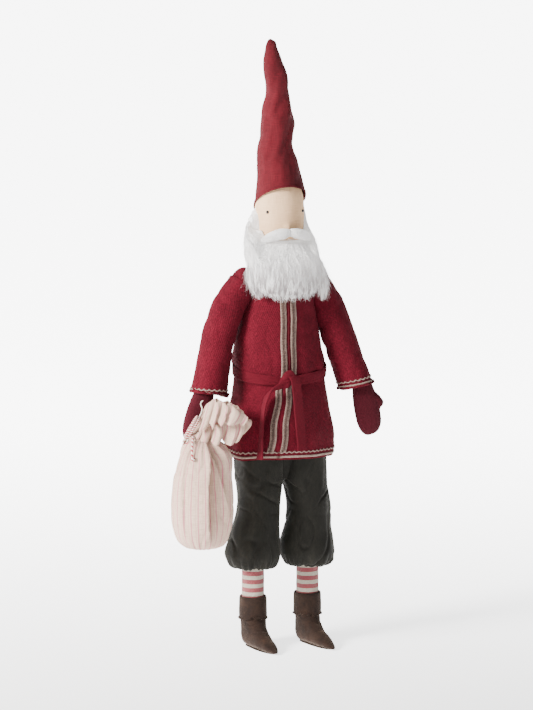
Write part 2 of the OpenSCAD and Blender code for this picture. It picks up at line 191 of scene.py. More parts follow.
class Shade:
    """A node tree: add() makes a node and joins its named inputs to values or other outputs."""

    def __init__(self, owner):
        self.owner = owner
        owner.use_nodes = True
        self.tree = owner.node_tree
        self.shader = self.tree.nodes.get("Principled BSDF")

    def join(self, node, key, value):
        socket = node.inputs[key]
        if isinstance(value, bpy.types.NodeSocket):
            self.tree.links.new(value, socket)
        elif isinstance(value, bpy.types.Node):
            self.tree.links.new(value.outputs[0], socket)
        else:
            socket.default_value = value

    def add(self, kind, inputs=None, **settings):
        node = self.tree.nodes.new("ShaderNode" + kind)
        for key, value in settings.items():
            setattr(node, key, value)
        for key, value in (inputs or {}).items():
            self.join(node, key, value)
        return node

    def toward(self, space, direction):
        """Distance along a direction, from the texture space's middle."""
        place = self.add("TexCoord").outputs[space]
        return self.add("VectorMath", {0: place, 1: direction}, operation="DOT_PRODUCT").outputs["Value"]

    def maths(self, operation, a, b=0.0, clamp=False):
        return self.add("Math", {0: a, 1: b}, operation=operation, use_clamp=clamp)

    def times(self, a, b):
        return self.maths("MULTIPLY", a, b)

    def total(self, *terms):
        """Sum of (value, weight) terms."""
        parts = [value if weight == 1 else self.times(value, weight)
                 for value, weight in terms if weight]
        result = parts[0]
        for part in parts[1:]:
            result = self.maths("ADD", result, part)
        return result

    def near(self, value, middle, reach):
        """1 where the value is within reach of the middle."""
        away = self.maths("ABSOLUTE", self.maths("SUBTRACT", value, middle))
        return self.maths("LESS_THAN", away, reach)

    def noise(self, scale, detail=2.0, rough=0.5, stretch=None, where=None):
        """Noise in the piece's own space, its scale in grains to a metre."""
        place = where or self.add("TexCoord").outputs["Object"]
        if stretch:
            place = self.add("Mapping", {"Vector": place, "Scale": stretch}).outputs[0]
        return self.add("TexNoise", {"Vector": place, "Scale": scale, "Detail": detail,
                                     "Roughness": rough}).outputs["Fac"]

    def cloth_uv(self):
        """The cloth's own width and length, in metres."""
        uv = self.add("UVMap", uv_map="cloth")
        split = self.add("SeparateXYZ", {0: uv})
        return split.outputs[0], split.outputs[1], uv.outputs[0]

    def ramp(self, fac, stops):
        node = self.add("ValToRGB", {"Fac": fac})
        elements = node.color_ramp.elements
        while len(elements) < len(stops):
            elements.new(0.5)
        for element, (place, colour) in zip(elements, stops):
            element.position = place
            element.color = (*colour, 1)
        return node.outputs["Color"]

    def mix(self, fac, a, b):
        node = self.add("Mix", data_type="RGBA")
        for key, value in ((0, fac), (6, a), (7, b)):
            self.join(node, key, (*value, 1) if isinstance(value, tuple) else value)
        return node.outputs[2]

    def ribs(self, distance, count):
        """Waves from -1 to 1, with that many half turns to a metre."""
        return self.maths("SINE", self.times(distance, count * math.pi))

    def threads(self, across, along):
        """Height of a plain weave with that many threads to a metre each way."""
        u, v, _ = self.cloth_uv()
        return self.times(self.ribs(u, across), self.ribs(v, along))

    def uneven(self, uv, fine, coarse):
        """Threads that thicken and thin, both ways."""
        return self.total((self.noise(1.0, 2, 0.6, (fine, coarse, 1), uv), 0.5),
                          (self.noise(1.0, 2, 0.6, (coarse, fine, 1), uv), 0.5))

    def finish(self, colour, height, depth, strength, rough=0.9, sheen=0.0, sheen_rough=0.5,
               specular=0.3, tint=(1, 1, 1)):
        """Joins the colour, and a relief that is depth metres high, to the shader."""
        bump = self.add("Bump", {"Height": height, "Distance": depth, "Strength": strength})
        for key, value in (("Base Color", colour), ("Normal", bump), ("Roughness", rough),
                           ("Specular IOR Level", specular), ("Sheen Weight", sheen),
                           ("Sheen Roughness", sheen_rough), ("Sheen Tint", (*tint, 1))):
            self.join(self.shader, key, value)
        return self.owner


def new_shade(name):
    return Shade(bpy.data.materials.new(name))


def grained(name, grains, stops, *look, knit=0.0):
    """Coloured and raised by grains of noise, each (scale, detail, roughness, stretch, share of the
    tone, share of the height); knit gives faint rows of stitches."""
    s = new_shade(name)
    noises = [(s.noise(*grain[:4]), *grain[4:]) for grain in grains]
    tone = s.total(*[(value, share) for value, share, _ in noises])
    height = s.total(*[(value, share) for value, _, share in noises])
    if knit:
        height = s.total((height, 1), (s.threads(knit, knit * 0.7), 0.35))
    return s.finish(s.ramp(tone, stops), height, *look)


def linen(name, dark, colour, light, weave=1500, slub=0.35, sheen=0.15, rough=0.88):
    """Plain-woven linen: uneven threads both ways, with thicker slubs here and there."""
    s = new_shade(name)
    slubs = s.uneven(s.cloth_uv()[2], 900, 60)
    base = s.ramp(s.total((slubs, 0.75), (s.noise(22, 3, 0.6), 0.35)),
                  [(0.34, dark), (0.55, colour), (0.76, light)])
    height = s.total((s.threads(weave, weave), 1), (slubs, 3 * slub))
    return s.finish(base, height, 0.00035, 0.7, rough, sheen, 0.5, 0.25, light)


def felt(name, dark, colour, light, grain=420, sheen=0.35, knit=0.0):
    """Milled wool: heathered fibres with a soft nap."""
    grains = [(grain, 4, 0.7, None, 0.6, 1), (grain * 3.2, 2, 0.6, None, 0.25, 0.6),
              (26, 3, 0.55, None, 0.22, 0)]
    return grained(name, grains, [(0.36, dark), (0.53, colour), (0.72, light)],
                   0.0012, 0.55, 0.95, sheen, 0.6, 0.15, light, knit=knit)


def velvet(name):
    """Washed cotton velvet: dark, with the pile brushed lighter in patches and creases."""
    grains = [(34, 4, 0.65, (1, 1, 0.45), 0.8, 1), (900, 2, 0.7, None, 0.25, 0.6)]
    stops = [(0.35, (0.005, 0.0046, 0.0033)), (0.55, (0.0093, 0.0087, 0.0063)),
             (0.74, (0.0196, 0.018, 0.0135))]
    return grained(name, grains, stops, 0.0012, 0.5, 0.82, 0.28, 0.35, 0.2, (0.3, 0.29, 0.25))


def suede(name, shift):
    """Brushed suede: mottled nap, rubbed paler in places; shift lightens or darkens it."""
    grains = [(60, 5, 0.62, None, 0.62, 1.4), (1100, 3, 0.7, None, 0.22, 1),
              (18, 3, 0.5, None, 0.24, 0)]
    stops = [(0.4, (0.0126, 0.0054, 0.0027)), (0.55, (0.0287, 0.0122, 0.0064)),
             (0.73, (0.057, 0.0266, 0.0146))]
    stops = [(place, tuple(c * shift for c in colour)) for place, colour in stops]
    return grained(name, grains, stops, 0.0009, 0.6, 0.86, 0.3, 0.4, 0.22, (0.5, 0.36, 0.28))


def striped_sack(name, bag_width, stripes):
    """Cream cotton with fine pink stripes, in pairs of a strong and a faint one."""
    s = new_shade(name)
    u, _, uv = s.cloth_uv()
    phase = s.maths("FRACT", s.times(u, stripes / bag_width))
    wander = s.times(s.noise(1.0, 3, 0.6, (300, 40, 1), uv), 0.05)
    strong = s.near(s.maths("ADD", phase, wander), 0.52, 0.085)
    faint = s.times(s.near(phase, 0.12, 0.045), 0.45)
    fade = s.maths("MULTIPLY", s.noise(1.0, 3, 0.7, (500, 30, 1), uv), 1.7, True)
    thread = s.uneven(uv, 900, 80)
    ground = s.ramp(thread, [(0.35, (0.4829, 0.3368, 0.248)), (0.5, (0.6366, 0.4553, 0.3462)),
                             (0.68, (0.7464, 0.5549, 0.436))])
    base = s.mix(s.times(s.maths("MAXIMUM", strong, faint), fade), ground, (0.56, 0.2, 0.23))
    height = s.maths("ADD", s.threads(1400, 1400), thread)
    return s.finish(base, height, 0.0003, 0.7, 0.88, 0.12, 0.5, 0.25, (0.9, 0.85, 0.8))


def striped_knit(name, pitch):
    """Fine jersey with alternate pink and off-white stripes and upright ribs."""
    s = new_shade(name)
    u, v, _ = s.cloth_uv()
    phase = s.maths("FRACT", s.total((v, 1 / pitch), (s.noise(140, 2, 0.5), 0.08)))
    fluff = s.noise(700, 3, 0.7)
    white = s.ramp(fluff, [(0.3, (0.3128, 0.2755, 0.2176)), (0.55, (0.4216, 0.3805, 0.3072)),
                           (0.75, (0.5032, 0.4592, 0.384))])
    rose = s.ramp(fluff, [(0.3, (0.1714, 0.0317, 0.0372)), (0.55, (0.2509, 0.0554, 0.062)),
                          (0.75, (0.3182, 0.0898, 0.0942))])
    base = s.mix(s.maths("LESS_THAN", phase, 0.54), white, rose)
    height = s.total((s.ribs(u, 2 * 620), 1), (s.ribs(v, 2 * 800), 0.5), (fluff, 1))
    return s.finish(base, height, 0.0004, 0.8, 0.92, 0.25, 0.5, 0.2, (0.9, 0.8, 0.78))


def braid(name):
    """Knitted tape in beige with darker flecks between the stitches, darker along its middle."""
    s = new_shade(name)
    across = s.times(s.cloth_uv()[0], 1 / (TAPE_WIDTH * MM))
    edge = s.maths("MINIMUM", s.maths("ABSOLUTE", s.maths("SUBTRACT", across, 0.5)), 0.5)
    stitches = s.maths("ABSOLUTE", s.threads(900, 700))
    tone = s.total((stitches, 0.3), (s.noise(640, 2, 0.75), 0.62), (edge, 0.62))
    base = s.ramp(tone, [(0.46, (0.03, 0.014, 0.011)), (0.58, (0.12, 0.072, 0.057)),
                         (0.8, (0.34, 0.245, 0.205))])
    return s.finish(base, tone, 0.0012, 0.8, 0.93, 0.2, 0.5, 0.2, (0.8, 0.75, 0.7))


def wool(name, shade, colour, glow=0.0):
    """Carded fleece: fine fibres that run downwards, painted shade in the gaps between them, and a
    painted glow (emission) in place of the light that passes through them.
    """
    s = new_shade(name)
    fibres = s.noise(1500, 3, 0.7, (1, 1, 0.06))
    strands = s.noise(420, 3, 0.65, (1, 1, 0.1))
    clumps = s.noise(60, 3, 0.6, (1, 1, 0.5))
    tone = s.total((strands, 0.35), (clumps, 0.25), (fibres, 0.4))
    base = s.ramp(tone, [(0.36, shade), (0.47, colour), (0.62, (0.97, 0.965, 0.955))])
    # Painted shade: the gaps between the fibres are coloured dark pinkish, more towards the lower edge
    shaded_gaps = s.ramp(s.noise(330, 3, 0.6, (1, 1, 0.17)), [(0.42, (0, 0, 0)), (0.57, (1, 1, 1))])
    down = s.add("MapRange", {"Value": s.toward("Object", (0, 0, 1)), "From Min": 0.56,
                              "From Max": 0.51, "To Min": 0.05, "To Max": 1.0})
    base = s.mix(s.times(shaded_gaps, down), base, (0.1, 0.045, 0.05))
    height = s.maths("SUBTRACT", s.total((strands, 0.8), (fibres, 1)), s.times(shaded_gaps, 0.5))
    # Painted glow: the wool emits light of its own, which keeps it bright and flat
    s.join(s.shader, "Emission Color", (1.0, 0.985, 0.97, 1))
    s.join(s.shader, "Emission Strength", glow)
    return s.finish(base, height, 0.0011, 0.75, 0.95, 0.25, 0.6, 0.15)


def twisted_cord(name, turns, girth):
    """Red and white yarns laid together, with that many turns to a metre."""
    s = new_shade(name)
    u, v, _ = s.cloth_uv()
    twist = s.maths("FRACT", s.total((v, turns), (u, 1 / girth)))
    fluff = s.noise(1600, 2, 0.6)
    base = s.mix(s.maths("LESS_THAN", twist, 0.5),
                 s.ramp(fluff, [(0.3, (0.6, 0.55, 0.48)), (0.7, (0.86, 0.82, 0.75))]),
                 s.ramp(fluff, [(0.3, (0.3, 0.015, 0.02)), (0.7, (0.5, 0.04, 0.05))]))
    lay = s.maths("ABSOLUTE", s.ribs(twist, 2))
    return s.finish(base, s.maths("ADD", lay, fluff), 0.0005, 0.8, 0.9, 0.2)


TAPE_WIDTH = 8.6
LINEN = linen("skin_linen", (0.6406, 0.3952, 0.2187), (0.8008, 0.5222, 0.3062),
              (0.9038, 0.621, 0.3791))
HAT_LINEN = linen("hat_linen", (0.036, 0.0009, 0.003), (0.0815, 0.0021, 0.0064),
                  (0.134, 0.0055, 0.0128), 900, 0.6, 0.06, 0.9)
COAT_FELT = felt("coat_felt", (0.0303, 0.0009, 0.0036), (0.0768, 0.0023, 0.0082),
                 (0.1388, 0.0073, 0.0179), 460, 0.12, knit=560)
SLIT_FELT = felt("slit_felt", (0.04, 0.003, 0.006), (0.075, 0.006, 0.011), (0.12, 0.014, 0.02))
BELT_FELT = felt("belt_felt", (0.055, 0.0016, 0.0053), (0.0805, 0.0028, 0.0088),
                 (0.11, 0.0063, 0.0153), 900, 0.1)
MITTEN_FELT = felt("mitten_felt", (0.0326, 0.0023, 0.005), (0.053, 0.0046, 0.0094),
                   (0.0775, 0.0106, 0.018), 800, 0.15)
RED_YARN = felt("red_yarn", (0.2, 0.01, 0.015), (0.36, 0.02, 0.03), (0.5, 0.06, 0.07), 900)
WHITE_YARN = felt("white_yarn", (0.5, 0.45, 0.38), (0.72, 0.67, 0.58), (0.86, 0.82, 0.75), 900)
VELVET = velvet("breeches_velvet")
SUEDE = suede("boot_suede", 0.5)
CUFF_SUEDE = suede("cuff_suede", 0.46)
SOLE_SUEDE = suede("sole_suede", 0.4)
BRAID = braid("braid")
# The beard's wool is given a painted glow (emission 0.38)
WOOL = wool("beard_wool", (0.6, 0.57, 0.56), (0.88, 0.865, 0.85), 0.38)
# Brownish wool for the line under the moustache: partly the mouth, partly painted shade
MOUTH_SHADE_WOOL = wool("mouth_shade_wool", (0.24, 0.16, 0.11), (0.36, 0.25, 0.18))
CORD = twisted_cord("twisted_cord", 160, 0.0094)
KNIT = striped_knit("stocking_knit", 0.0118)
BEAD = grained("eye_bead", [(900, 2, 0.5, None, 1, 1)],
               [(0.3, (0.012, 0.009, 0.008)), (0.7, (0.03, 0.022, 0.02))],
               0.0001, 0.3, 0.35, 0.0, 0.5, 0.5)
WADDING = grained("wadding", [(120, 4, 0.6, None, 1, 1)],
                  [(0.3, (0.72, 0.7, 0.65)), (0.7, (0.9, 0.89, 0.85))], 0.002, 0.6, 0.95, 0.2)
CALICO = grained("inner_calico", [(1400, 2, 0.6, (1, 1, 0.08), 0.5, 0.5),
                                  (1400, 2, 0.6, (0.08, 1, 1), 0.5, 0.5)],
                 [(0.3, (0.62, 0.5, 0.38)), (0.7, (0.8, 0.68, 0.55))], 0.0004, 0.6, 0.9, 0.1)


# ---- Mesh tools ---------------------------------------------------------------------------------

def smooth_rows(table, count):
    """A smooth curve through the rows of a table, with count rows."""
    table = np.asarray(table, float)
    last = len(table) - 1
    t = np.linspace(0, last, count)
    i = np.clip(t.astype(int), 0, last - 1)
    f = (t - i)[:, None]
    p0, p1 = table[np.maximum(i - 1, 0)], table[i]
    p2, p3 = table[i + 1], table[np.minimum(i + 2, last)]
    return 0.5 * (2 * p1 + (p2 - p0) * f + (2 * p0 - 5 * p1 + 4 * p2 - p3) * f ** 2
                  + (3 * p1 - p0 - 3 * p2 + p3) * f ** 3)


def smoothstep(x, low, high):
    t = np.clip((x - low) / (high - low), 0, 1)
    return t * t * (3 - 2 * t)


def bell(x, middle, width):
    return np.exp(-((x - middle) / width) ** 2)


def unit(vectors):
    return vectors / np.maximum(np.linalg.norm(vectors, axis=-1, keepdims=True), 1e-9)


def directions(route, hint):
    """Unit directions along each route, beside it and above it."""
    along = unit(np.gradient(route, axis=-2))
    side = unit(np.cross(along, hint))
    return along, side, np.cross(along, side)


def field(points, scale, seed, octaves=1):
    """Smooth noise from -1 to 1 at each point; scale is the size of its bumps, in millimetres."""
    flat = points.reshape(-1, 3) / scale + np.array([seed * 17.3, seed * 5.1, seed * 9.7])
    total = sum(0.5 ** octave * np.array([noise.noise(Vector(p)) for p in flat * 2.0 ** octave])
                for octave in range(octaves))
    return total.reshape(points.shape[:-1])


def creases(points, scale, seed, width=0.08):
    """Narrow valleys, from -1 to 0, that wander over the cloth."""
    return -bell(field(points, scale, seed), 0, width)


def normals(grid, closed=True):
    across = (np.roll(grid, -1, 1) - np.roll(grid, 1, 1)) if closed else np.gradient(grid, axis=1)
    return unit(np.cross(across, np.gradient(grid, axis=0)))


def push(grid, amount, closed=True):
    return grid + normals(grid, closed) * np.asarray(amount)[..., None]


def angles(n):
    """Angles round a piece, seen from above, from its back seam round to it again."""
    return np.radians(90 + 360 * np.arange(n) / n)[None, :]


def superellipse(a, power):
    """Cosine and sine of the angles, drawn out towards a square as the power falls below 1."""
    c, s = np.cos(a), np.sin(a)
    return np.sign(c) * np.abs(c) ** power, np.sign(s) * np.abs(s) ** power


def rounded(sections, n, squareness=2.0, lean=0.0):
    """Rings through sections of (z, x, y, half width, half depth, slope along y)."""
    z, x, y, wide, deep, slope = (column[:, None] for column in np.asarray(sections, float).T)
    c, s = superellipse(angles(n) + lean, 2.0 / (np.asarray(squareness, float)[..., None] + 0 * z))
    return np.stack([x + wide * c, y + deep * s, z + slope * deep * s], axis=2)


def ball(centre, radius, start, rows, cols, ridges=0.0):
    """A ball, or with ridges a small knot with three ridges that wind round it."""
    t = np.linspace(start, math.pi - start, rows)[:, None]
    a = angles(cols)
    r = radius * (1 - ridges * (0.5 + 0.5 * np.cos(3 * a + 4 * t)))
    return np.asarray(centre) + np.stack([r * np.sin(t) * np.cos(a), r * np.sin(t) * np.sin(a),
                                          -r * np.cos(t)], axis=2)


def lengths(grid):
    """Distance of each row from the lower edge, along the cloth."""
    steps = np.linalg.norm(np.diff(grid, axis=0), axis=-1)
    return np.concatenate([[0], np.cumsum(steps if steps.ndim == 1 else steps.mean(1))])


def grid_object(name, grid, material, closed=True, low_cap=False, high_cap=False):
    """Object from a grid of points in doll millimetres, with the cloth's own sizes as its UVs."""
    rows, cols = grid.shape[:2]
    wrap = cols if closed else cols - 1
    faces = [(r * cols + c, r * cols + (c + 1) % cols, (r + 1) * cols + (c + 1) % cols,
              (r + 1) * cols + c) for r in range(rows - 1) for c in range(wrap)]
    steps = np.linalg.norm((np.roll(grid, -1, 1) - grid)[:, :wrap], axis=2)
    u = np.concatenate([[0], np.cumsum(steps[np.argmax(steps.sum(axis=1))])]) * MM
    v = lengths(grid) * MM
    uvs = [uv for r in range(rows - 1) for c in range(wrap)
           for uv in ((u[c], v[r]), (u[c + 1], v[r]), (u[c + 1], v[r + 1]), (u[c], v[r + 1]))]
    points = row(grid.reshape(-1, 3))
    vertices = [tuple(p) for p in points]
    for capped, r in ((low_cap, 0), (high_cap, rows - 1)):
        if capped:
            centre = len(vertices)
            vertices.append(tuple(points[r * cols:(r + 1) * cols].mean(0)))
            for c in range(wrap):
                edge = (r * cols + (c + 1) % cols, r * cols + c)
                faces.append((centre, *(edge if r == 0 else edge[::-1])))
                uvs += [(u[c], v[r]), (u[c + 1], v[r]), (u[c], v[r])]
    obj = mesh_object(name, vertices, faces, material)
    obj.data.uv_layers.new(name="cloth").data.foreach_set("uv", np.array(uvs, float).ravel())
    return obj


def capped(name, grid, material):
    return grid_object(name, grid, material, low_cap=True, high_cap=True)


def baked(obj):
    """Turns the object's modifiers into its mesh."""
    depsgraph = bpy.context.evaluated_depsgraph_get()
    obj.data = bpy.data.meshes.new_from_object(obj.evaluated_get(depsgraph))
    obj.modifiers.clear()
    smooth(obj.data)
    return obj


def modified(obj, *modifiers):
    """Adds each (type, settings) modifier and turns them all into the mesh."""
    for kind, settings in modifiers:
        modifier = obj.modifiers.new(kind.lower(), kind)
        for key, value in settings.items():
            setattr(modifier, key, value)
    return baked(obj)


SUBDIVIDED = ("SUBSURF", {"levels": 1, "render_levels": 1})


def thick(obj, millimetres, finer=False):
    """Gives a skin its cloth's thickness, inwards."""
    solid = ("SOLIDIFY", {"thickness": millimetres * MM, "offset": -1.0, "use_rim": True})
    return modified(obj, solid, SUBDIVIDED) if finer else modified(obj, solid)


def joined(name, objects):
    """One object out of several; its mesh keeps their materials and UVs."""
    with bpy.context.temp_override(active_object=objects[0], selected_editable_objects=objects,
                                   object=objects[0], selected_objects=objects):
        bpy.ops.object.join()
    objects[0].name = name
    objects[0].data.name = name
    return objects[0]


def tube(name, route, radius, material, sides=10, taper=1.0):
    """Round tube along doll-frame points."""
    route = np.asarray(route, float)
    _, side, up = directions(route, [0.0, 0.3, 1.0])
    a = np.linspace(0, 2 * np.pi, sides, endpoint=False)[None, :, None]
    radii = radius * taper * np.ones(len(route))
    return capped(name, route[:, None] + (side[:, None] * np.cos(a) + up[:, None] * np.sin(a))
                  * radii[:, None, None], material)


def place(piece, body, slot, *nodes):
    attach(piece, body)
    if nodes:
        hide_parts(*nodes)
    return piece


# ---- Tail of the sack's cord: its route is the same as in the CAD, in metres ---------------------

CORD_D = 0.003
TAIL_ROUTE = [(-0.145, -0.053, 0.315), (-0.1475, -0.057, 0.314), (-0.150, -0.062, 0.311),
              (-0.152, -0.0665, 0.3065), (-0.1535, -0.070, 0.301), (-0.1545, -0.073, 0.2955),
              (-0.155, -0.075, 0.290)]


def make_cord_tail():
    fine = smooth_rows(np.array(TAIL_ROUTE) / MM, 33)
    tail = tube("cord_tail_rope", fine, CORD_D / 2 / MM, CORD, 12)
    knot = capped("cord_tail_knot", ball(fine[-1] + (0, -2, -2.6), 3.3, 0.04, 17, 28, 0.12), CORD)
    place(knot, "sack", "cord", "cord_knot")
    place(tail, "sack", "cord", "cord_tail")


make_cord_tail()
make_studio()


# ---- Cloth laid on cloth ------------------------------------------------------------------------

def sample(grid, rows_at, cols_at):
    """Points of a closed grid at fractional rows and columns."""
    rows, cols = grid.shape[:2]
    r = np.clip(rows_at, 0, rows - 1.001)
    r0, c0 = np.floor(r).astype(int), np.floor(cols_at).astype(int)
    fr, fc = (r - r0)[..., None], (cols_at - c0)[..., None]
    low = grid[r0, c0 % cols] * (1 - fc) + grid[r0, (c0 + 1) % cols] * fc
    high = grid[r0 + 1, c0 % cols] * (1 - fc) + grid[r0 + 1, (c0 + 1) % cols] * fc
    return low * (1 - fr) + high * fr


def row_at(grid, z):
    """Fractional row of a height, by the rows' mean heights."""
    return np.interp(z, grid[..., 2].mean(axis=1), np.arange(len(grid)))


def rows_up(grid, *distances):
    """Fractional rows at distances along the cloth from its lower edge."""
    return np.interp(distances, lengths(grid), np.arange(len(grid)))


def col_at(grid, rows_at, x):
    """Fractional column, on the front, where the cloth is x to the doll's left."""
    cols = grid.shape[1]
    front = np.arange(cols // 4, 3 * cols // 4 + 1)
    return np.array([np.interp(xi, sample(grid, np.full(len(front), ri), front * 1.0)[:, 0], front)
                     for ri, xi in zip(rows_at, x)])


CLEARANCE = 0.2                 # between a laid band and the cloth under it


def laid(name, grid, rows_at, cols_at, rise, material, crown_axis=1):
    """A band of cloth on a surface, thickest along its middle."""
    skin, out = sample(grid, rows_at, cols_at), sample(normals(grid), rows_at, cols_at)
    across = np.linspace(0, 1, skin.shape[crown_axis])
    crown = CLEARANCE + rise * (0.5 + 0.5 * np.sin(np.pi * across))
    crown = crown[:, None, None] if crown_axis == 0 else crown[None, :, None]
    return thick(grid_object(name, skin + out * crown, material, closed=False), rise)


def seam(name, grid, first, last, count, half_cols, rise, material):
    """A raised seam up the back, between two rows."""
    rows_at, cols_at = np.meshgrid(np.linspace(first, last, count),
                                   np.linspace(-half_cols, half_cols, 5), indexing="ij")
    return laid(name, grid, rows_at, cols_at, rise, material)


def tape(name, grid, top, bottom, width, material, wave=0.5):
    """Knitted tape down the front, from one (x, z) to another."""
    x, z = np.linspace(bottom, top, 120).T
    x = x + wave * np.sin(z / 9.0)
    rows_at = row_at(grid, z)
    left, right = (col_at(grid, rows_at, x + side * width / 2)[:, None] for side in (-1, 1))
    f = np.linspace(0, 1, 7)[None, :]
    cols_at = left * (1 - f) + right * f
    return laid(name, grid, np.broadcast_to(rows_at[:, None], cols_at.shape), cols_at, 1.1, material)


SCALLOP = 7.4                   # length of one scallop of the trim


def trim(name, grid, low, high, cols, material, scalloped=False):
    """A band round a hem between two rows; scalloped gives a line of small points upwards."""
    cols_at = np.linspace(*cols, 600 if scalloped else 300)
    wave = 0
    if scalloped:
        length = lengths(sample(grid, np.full(len(cols_at), low), cols_at))
        phase = np.mod(length / SCALLOP + 0.5, 1)
        wave = (high - low) * 0.95 * np.abs(2 * phase - 1) ** 1.5
    f = np.linspace(0, 1, 5)[:, None]
    rows_at = low + (high - low) * f + 0 * cols_at + wave
    return laid(name, grid, rows_at, np.broadcast_to(cols_at, rows_at.shape), 0.9, material, 0)


def strands(name, paths, radii, material):
    """Fine fibres: a three-sided taper along each path."""
    count, points = paths.shape[:2]
    _, side, up = (part[:, :, None] for part in directions(paths, (0.31, 0.52, 0.79)))
    turn = (2 * np.pi * np.arange(3) / 3)[:, None]
    rings = paths[:, :, None] + radii[..., None, None] * (side * np.cos(turn) + up * np.sin(turn))
    base = (np.arange(count)[:, None] * points + np.arange(points - 1)[None, :]) * 3
    faces = [(base + k, base + (k + 1) % 3, base + 3 + (k + 1) % 3, base + 3 + k) for k in range(3)]
    faces = np.stack([np.stack(f, -1) for f in faces], 2).reshape(-1, 4)
    return mesh_object(name, row(rings.reshape(-1, 3)).tolist(), faces.tolist(), material)


CLOTH_FRAMES = 20


def swollen(obj, voxel, cap, pressure=4.0):
    """Inflates a closed skin as cloth: remesh, pressure, no gravity, and a limit on the movement."""
    modified(obj, ("REMESH", {"mode": "VOXEL", "voxel_size": voxel * MM}))
    rest = coordinates(obj)
    cloth = obj.modifiers.new("cloth", "CLOTH")
    cloth.settings.use_pressure = True
    cloth.settings.uniform_pressure_force = pressure
    cloth.settings.effector_weights.gravity = 0
    cloth.settings.quality = 6
    cloth.collision_settings.use_collision = False
    cloth.point_cache.frame_end = CLOTH_FRAMES
    for number in range(1, CLOTH_FRAMES + 1):
        bpy.context.scene.frame_set(number)
    baked(obj)
    moved = coordinates(obj) - rest
    size = np.linalg.norm(moved, axis=1, keepdims=True)
    set_coordinates(obj, rest + moved * np.minimum(1, cap / np.maximum(size, 1e-6)))
    bpy.context.scene.frame_set(1)


def coordinates(obj):
    return np.array([v.co for v in obj.data.vertices], float) / MM - MIDDLE


def set_coordinates(obj, points):
    obj.data.vertices.foreach_set("co", row(points).ravel())
    obj.data.update()


def vertex_normals(obj):
    return np.array([v.normal for v in obj.data.vertices])


def wrap_uv(obj, centre, radius):
    """Cloth UVs, in metres, round an upright axis, with the seam at the back."""
    mesh = obj.data
    layer = mesh.uv_layers.get("cloth") or mesh.uv_layers.new(name="cloth")
    points = coordinates(obj) - np.array([centre[0], centre[1], 0])
    around = np.mod(np.arctan2(points[:, 1], points[:, 0]) - np.pi / 2, 2 * np.pi)
    corner = np.zeros(len(mesh.loops), int)
    mesh.loops.foreach_get("vertex_index", corner)
    turn = around[corner]
    for polygon in mesh.polygons:
        loops = slice(polygon.loop_start, polygon.loop_start + polygon.loop_total)
        if turn[loops].max() - turn[loops].min() > np.pi:
            turn[loops] = np.where(turn[loops] < np.pi, turn[loops] + 2 * np.pi, turn[loops])
    uv = np.stack([turn * radius * MM, points[corner, 2] * MM], axis=1)
    layer.data.foreach_set("uv", uv.ravel())


# ---- Head ---------------------------------------------------------------------------------------

EYE_ANGLE, EYE_Z = 49, 618
NOSE_Z = 597
CROWN_START = 622


def make_head():
    levels = [(NECK_Z, 27), (NECK_Z + 8, 31), (NECK_Z + 20, HEAD_R - 0.4), (NECK_Z + 50, HEAD_R),
              (CROWN_START, HEAD_R)]
    for t in np.radians((15, 30, 45, 60, 75, 86)):
        levels.append((CROWN_START + (CROWN_Z - CROWN_START) * np.sin(t), HEAD_R * np.cos(t)))
    grid = rounded(smooth_rows([(z, 0, 0, r, r, 0) for z, r in levels], 110), 120)
    nose = bell(grid[..., 0], 0, 5.2) * bell(grid[..., 2], NOSE_Z, 6.0) * (grid[..., 1] < 0)
    grid = push(grid, 3.4 * nose + 0.35 * field(grid, 30, 3) + 0.08 * field(grid, 6, 4))
    head = capped("head", grid, LINEN)
    place(head, "torso", "linen", "head_casing")
    place(seam("head_seam", grid, 2, 100, 90, 0.9, 0.5, LINEN), "torso", "linen")


def make_eyes():
    beads = []
    for side, sign in SIDES.items():
        a = math.radians(-90 + sign * EYE_ANGLE)
        centre = ((HEAD_R + 0.2) * math.cos(a), (HEAD_R + 0.2) * math.sin(a), EYE_Z)
        beads.append(capped("eye_" + side, ball(centre, 2.2, 0.05, 13, 20), BEAD))
    place(joined("eyes", beads), "torso", "bead", "eyes")


# Height, middle (x, y), half width and half depth
BEARD = [(497, -3, -49, 31, 14), (505, -3, -46, 40, 18), (520, -4, -40, 47, 24),
         (538, -4.5, -31, 51.5, 32), (559, -6, -20, 52, 40), (580, -6.5, -14, 48.5, 42),
         (600, -7, -11, 44, 38.5), (616, -5, -6, 38.5, 34), (630, -1.5, -3, 35.6, 32)]
BEARD_ROWS, BEARD_COLS = 90, 150
BEARD_TURN = 112                # how far round from the front it reaches, in degrees


def beard_grid(turn, t):
    """Points at angles from the front, in degrees, and shares of the way up from the lower edge."""
    aside = np.abs(turn)
    round_side = np.abs(turn + 18)
    right = smoothstep(-turn, 40, 80)
    top = 579 + 13 * smoothstep(aside, 46, 66) + 32 * smoothstep(
        (round_side - 68 + 12 * right) / (36 + 4 * right), 0, 1)
    low = 504.5 + 8 * smoothstep(aside, 35, 75) + 30 * smoothstep(aside, 70, BEARD_TURN)
    z = low + (top - low) * t
    levels, *columns = np.array(BEARD, float).T
    x, y, wide, deep = (np.interp(z, levels, column) for column in columns)
    # On the doll's right the wool stands out beside the face, then closes on the head behind
    tuck = 1 - 0.3 * (1 - right) * smoothstep(aside, 80, BEARD_TURN) ** 1.5
    tuck = tuck - 0.55 * right * smoothstep(-turn, 94, BEARD_TURN)
    c, s = np.cos(np.radians(turn - 90)), np.sin(np.radians(turn - 90))
    skin = np.stack([x + wide * tuck * c, y + deep * tuck * s, z], axis=-1)
    face = np.stack([(HEAD_R + 1) * c, (HEAD_R + 1) * s, z], axis=-1)
    body = smoothstep(1 - t, -0.02, 0.4 - 0.27 * right)[..., None] ** 0.7
    return face * (1 - body) + skin * body


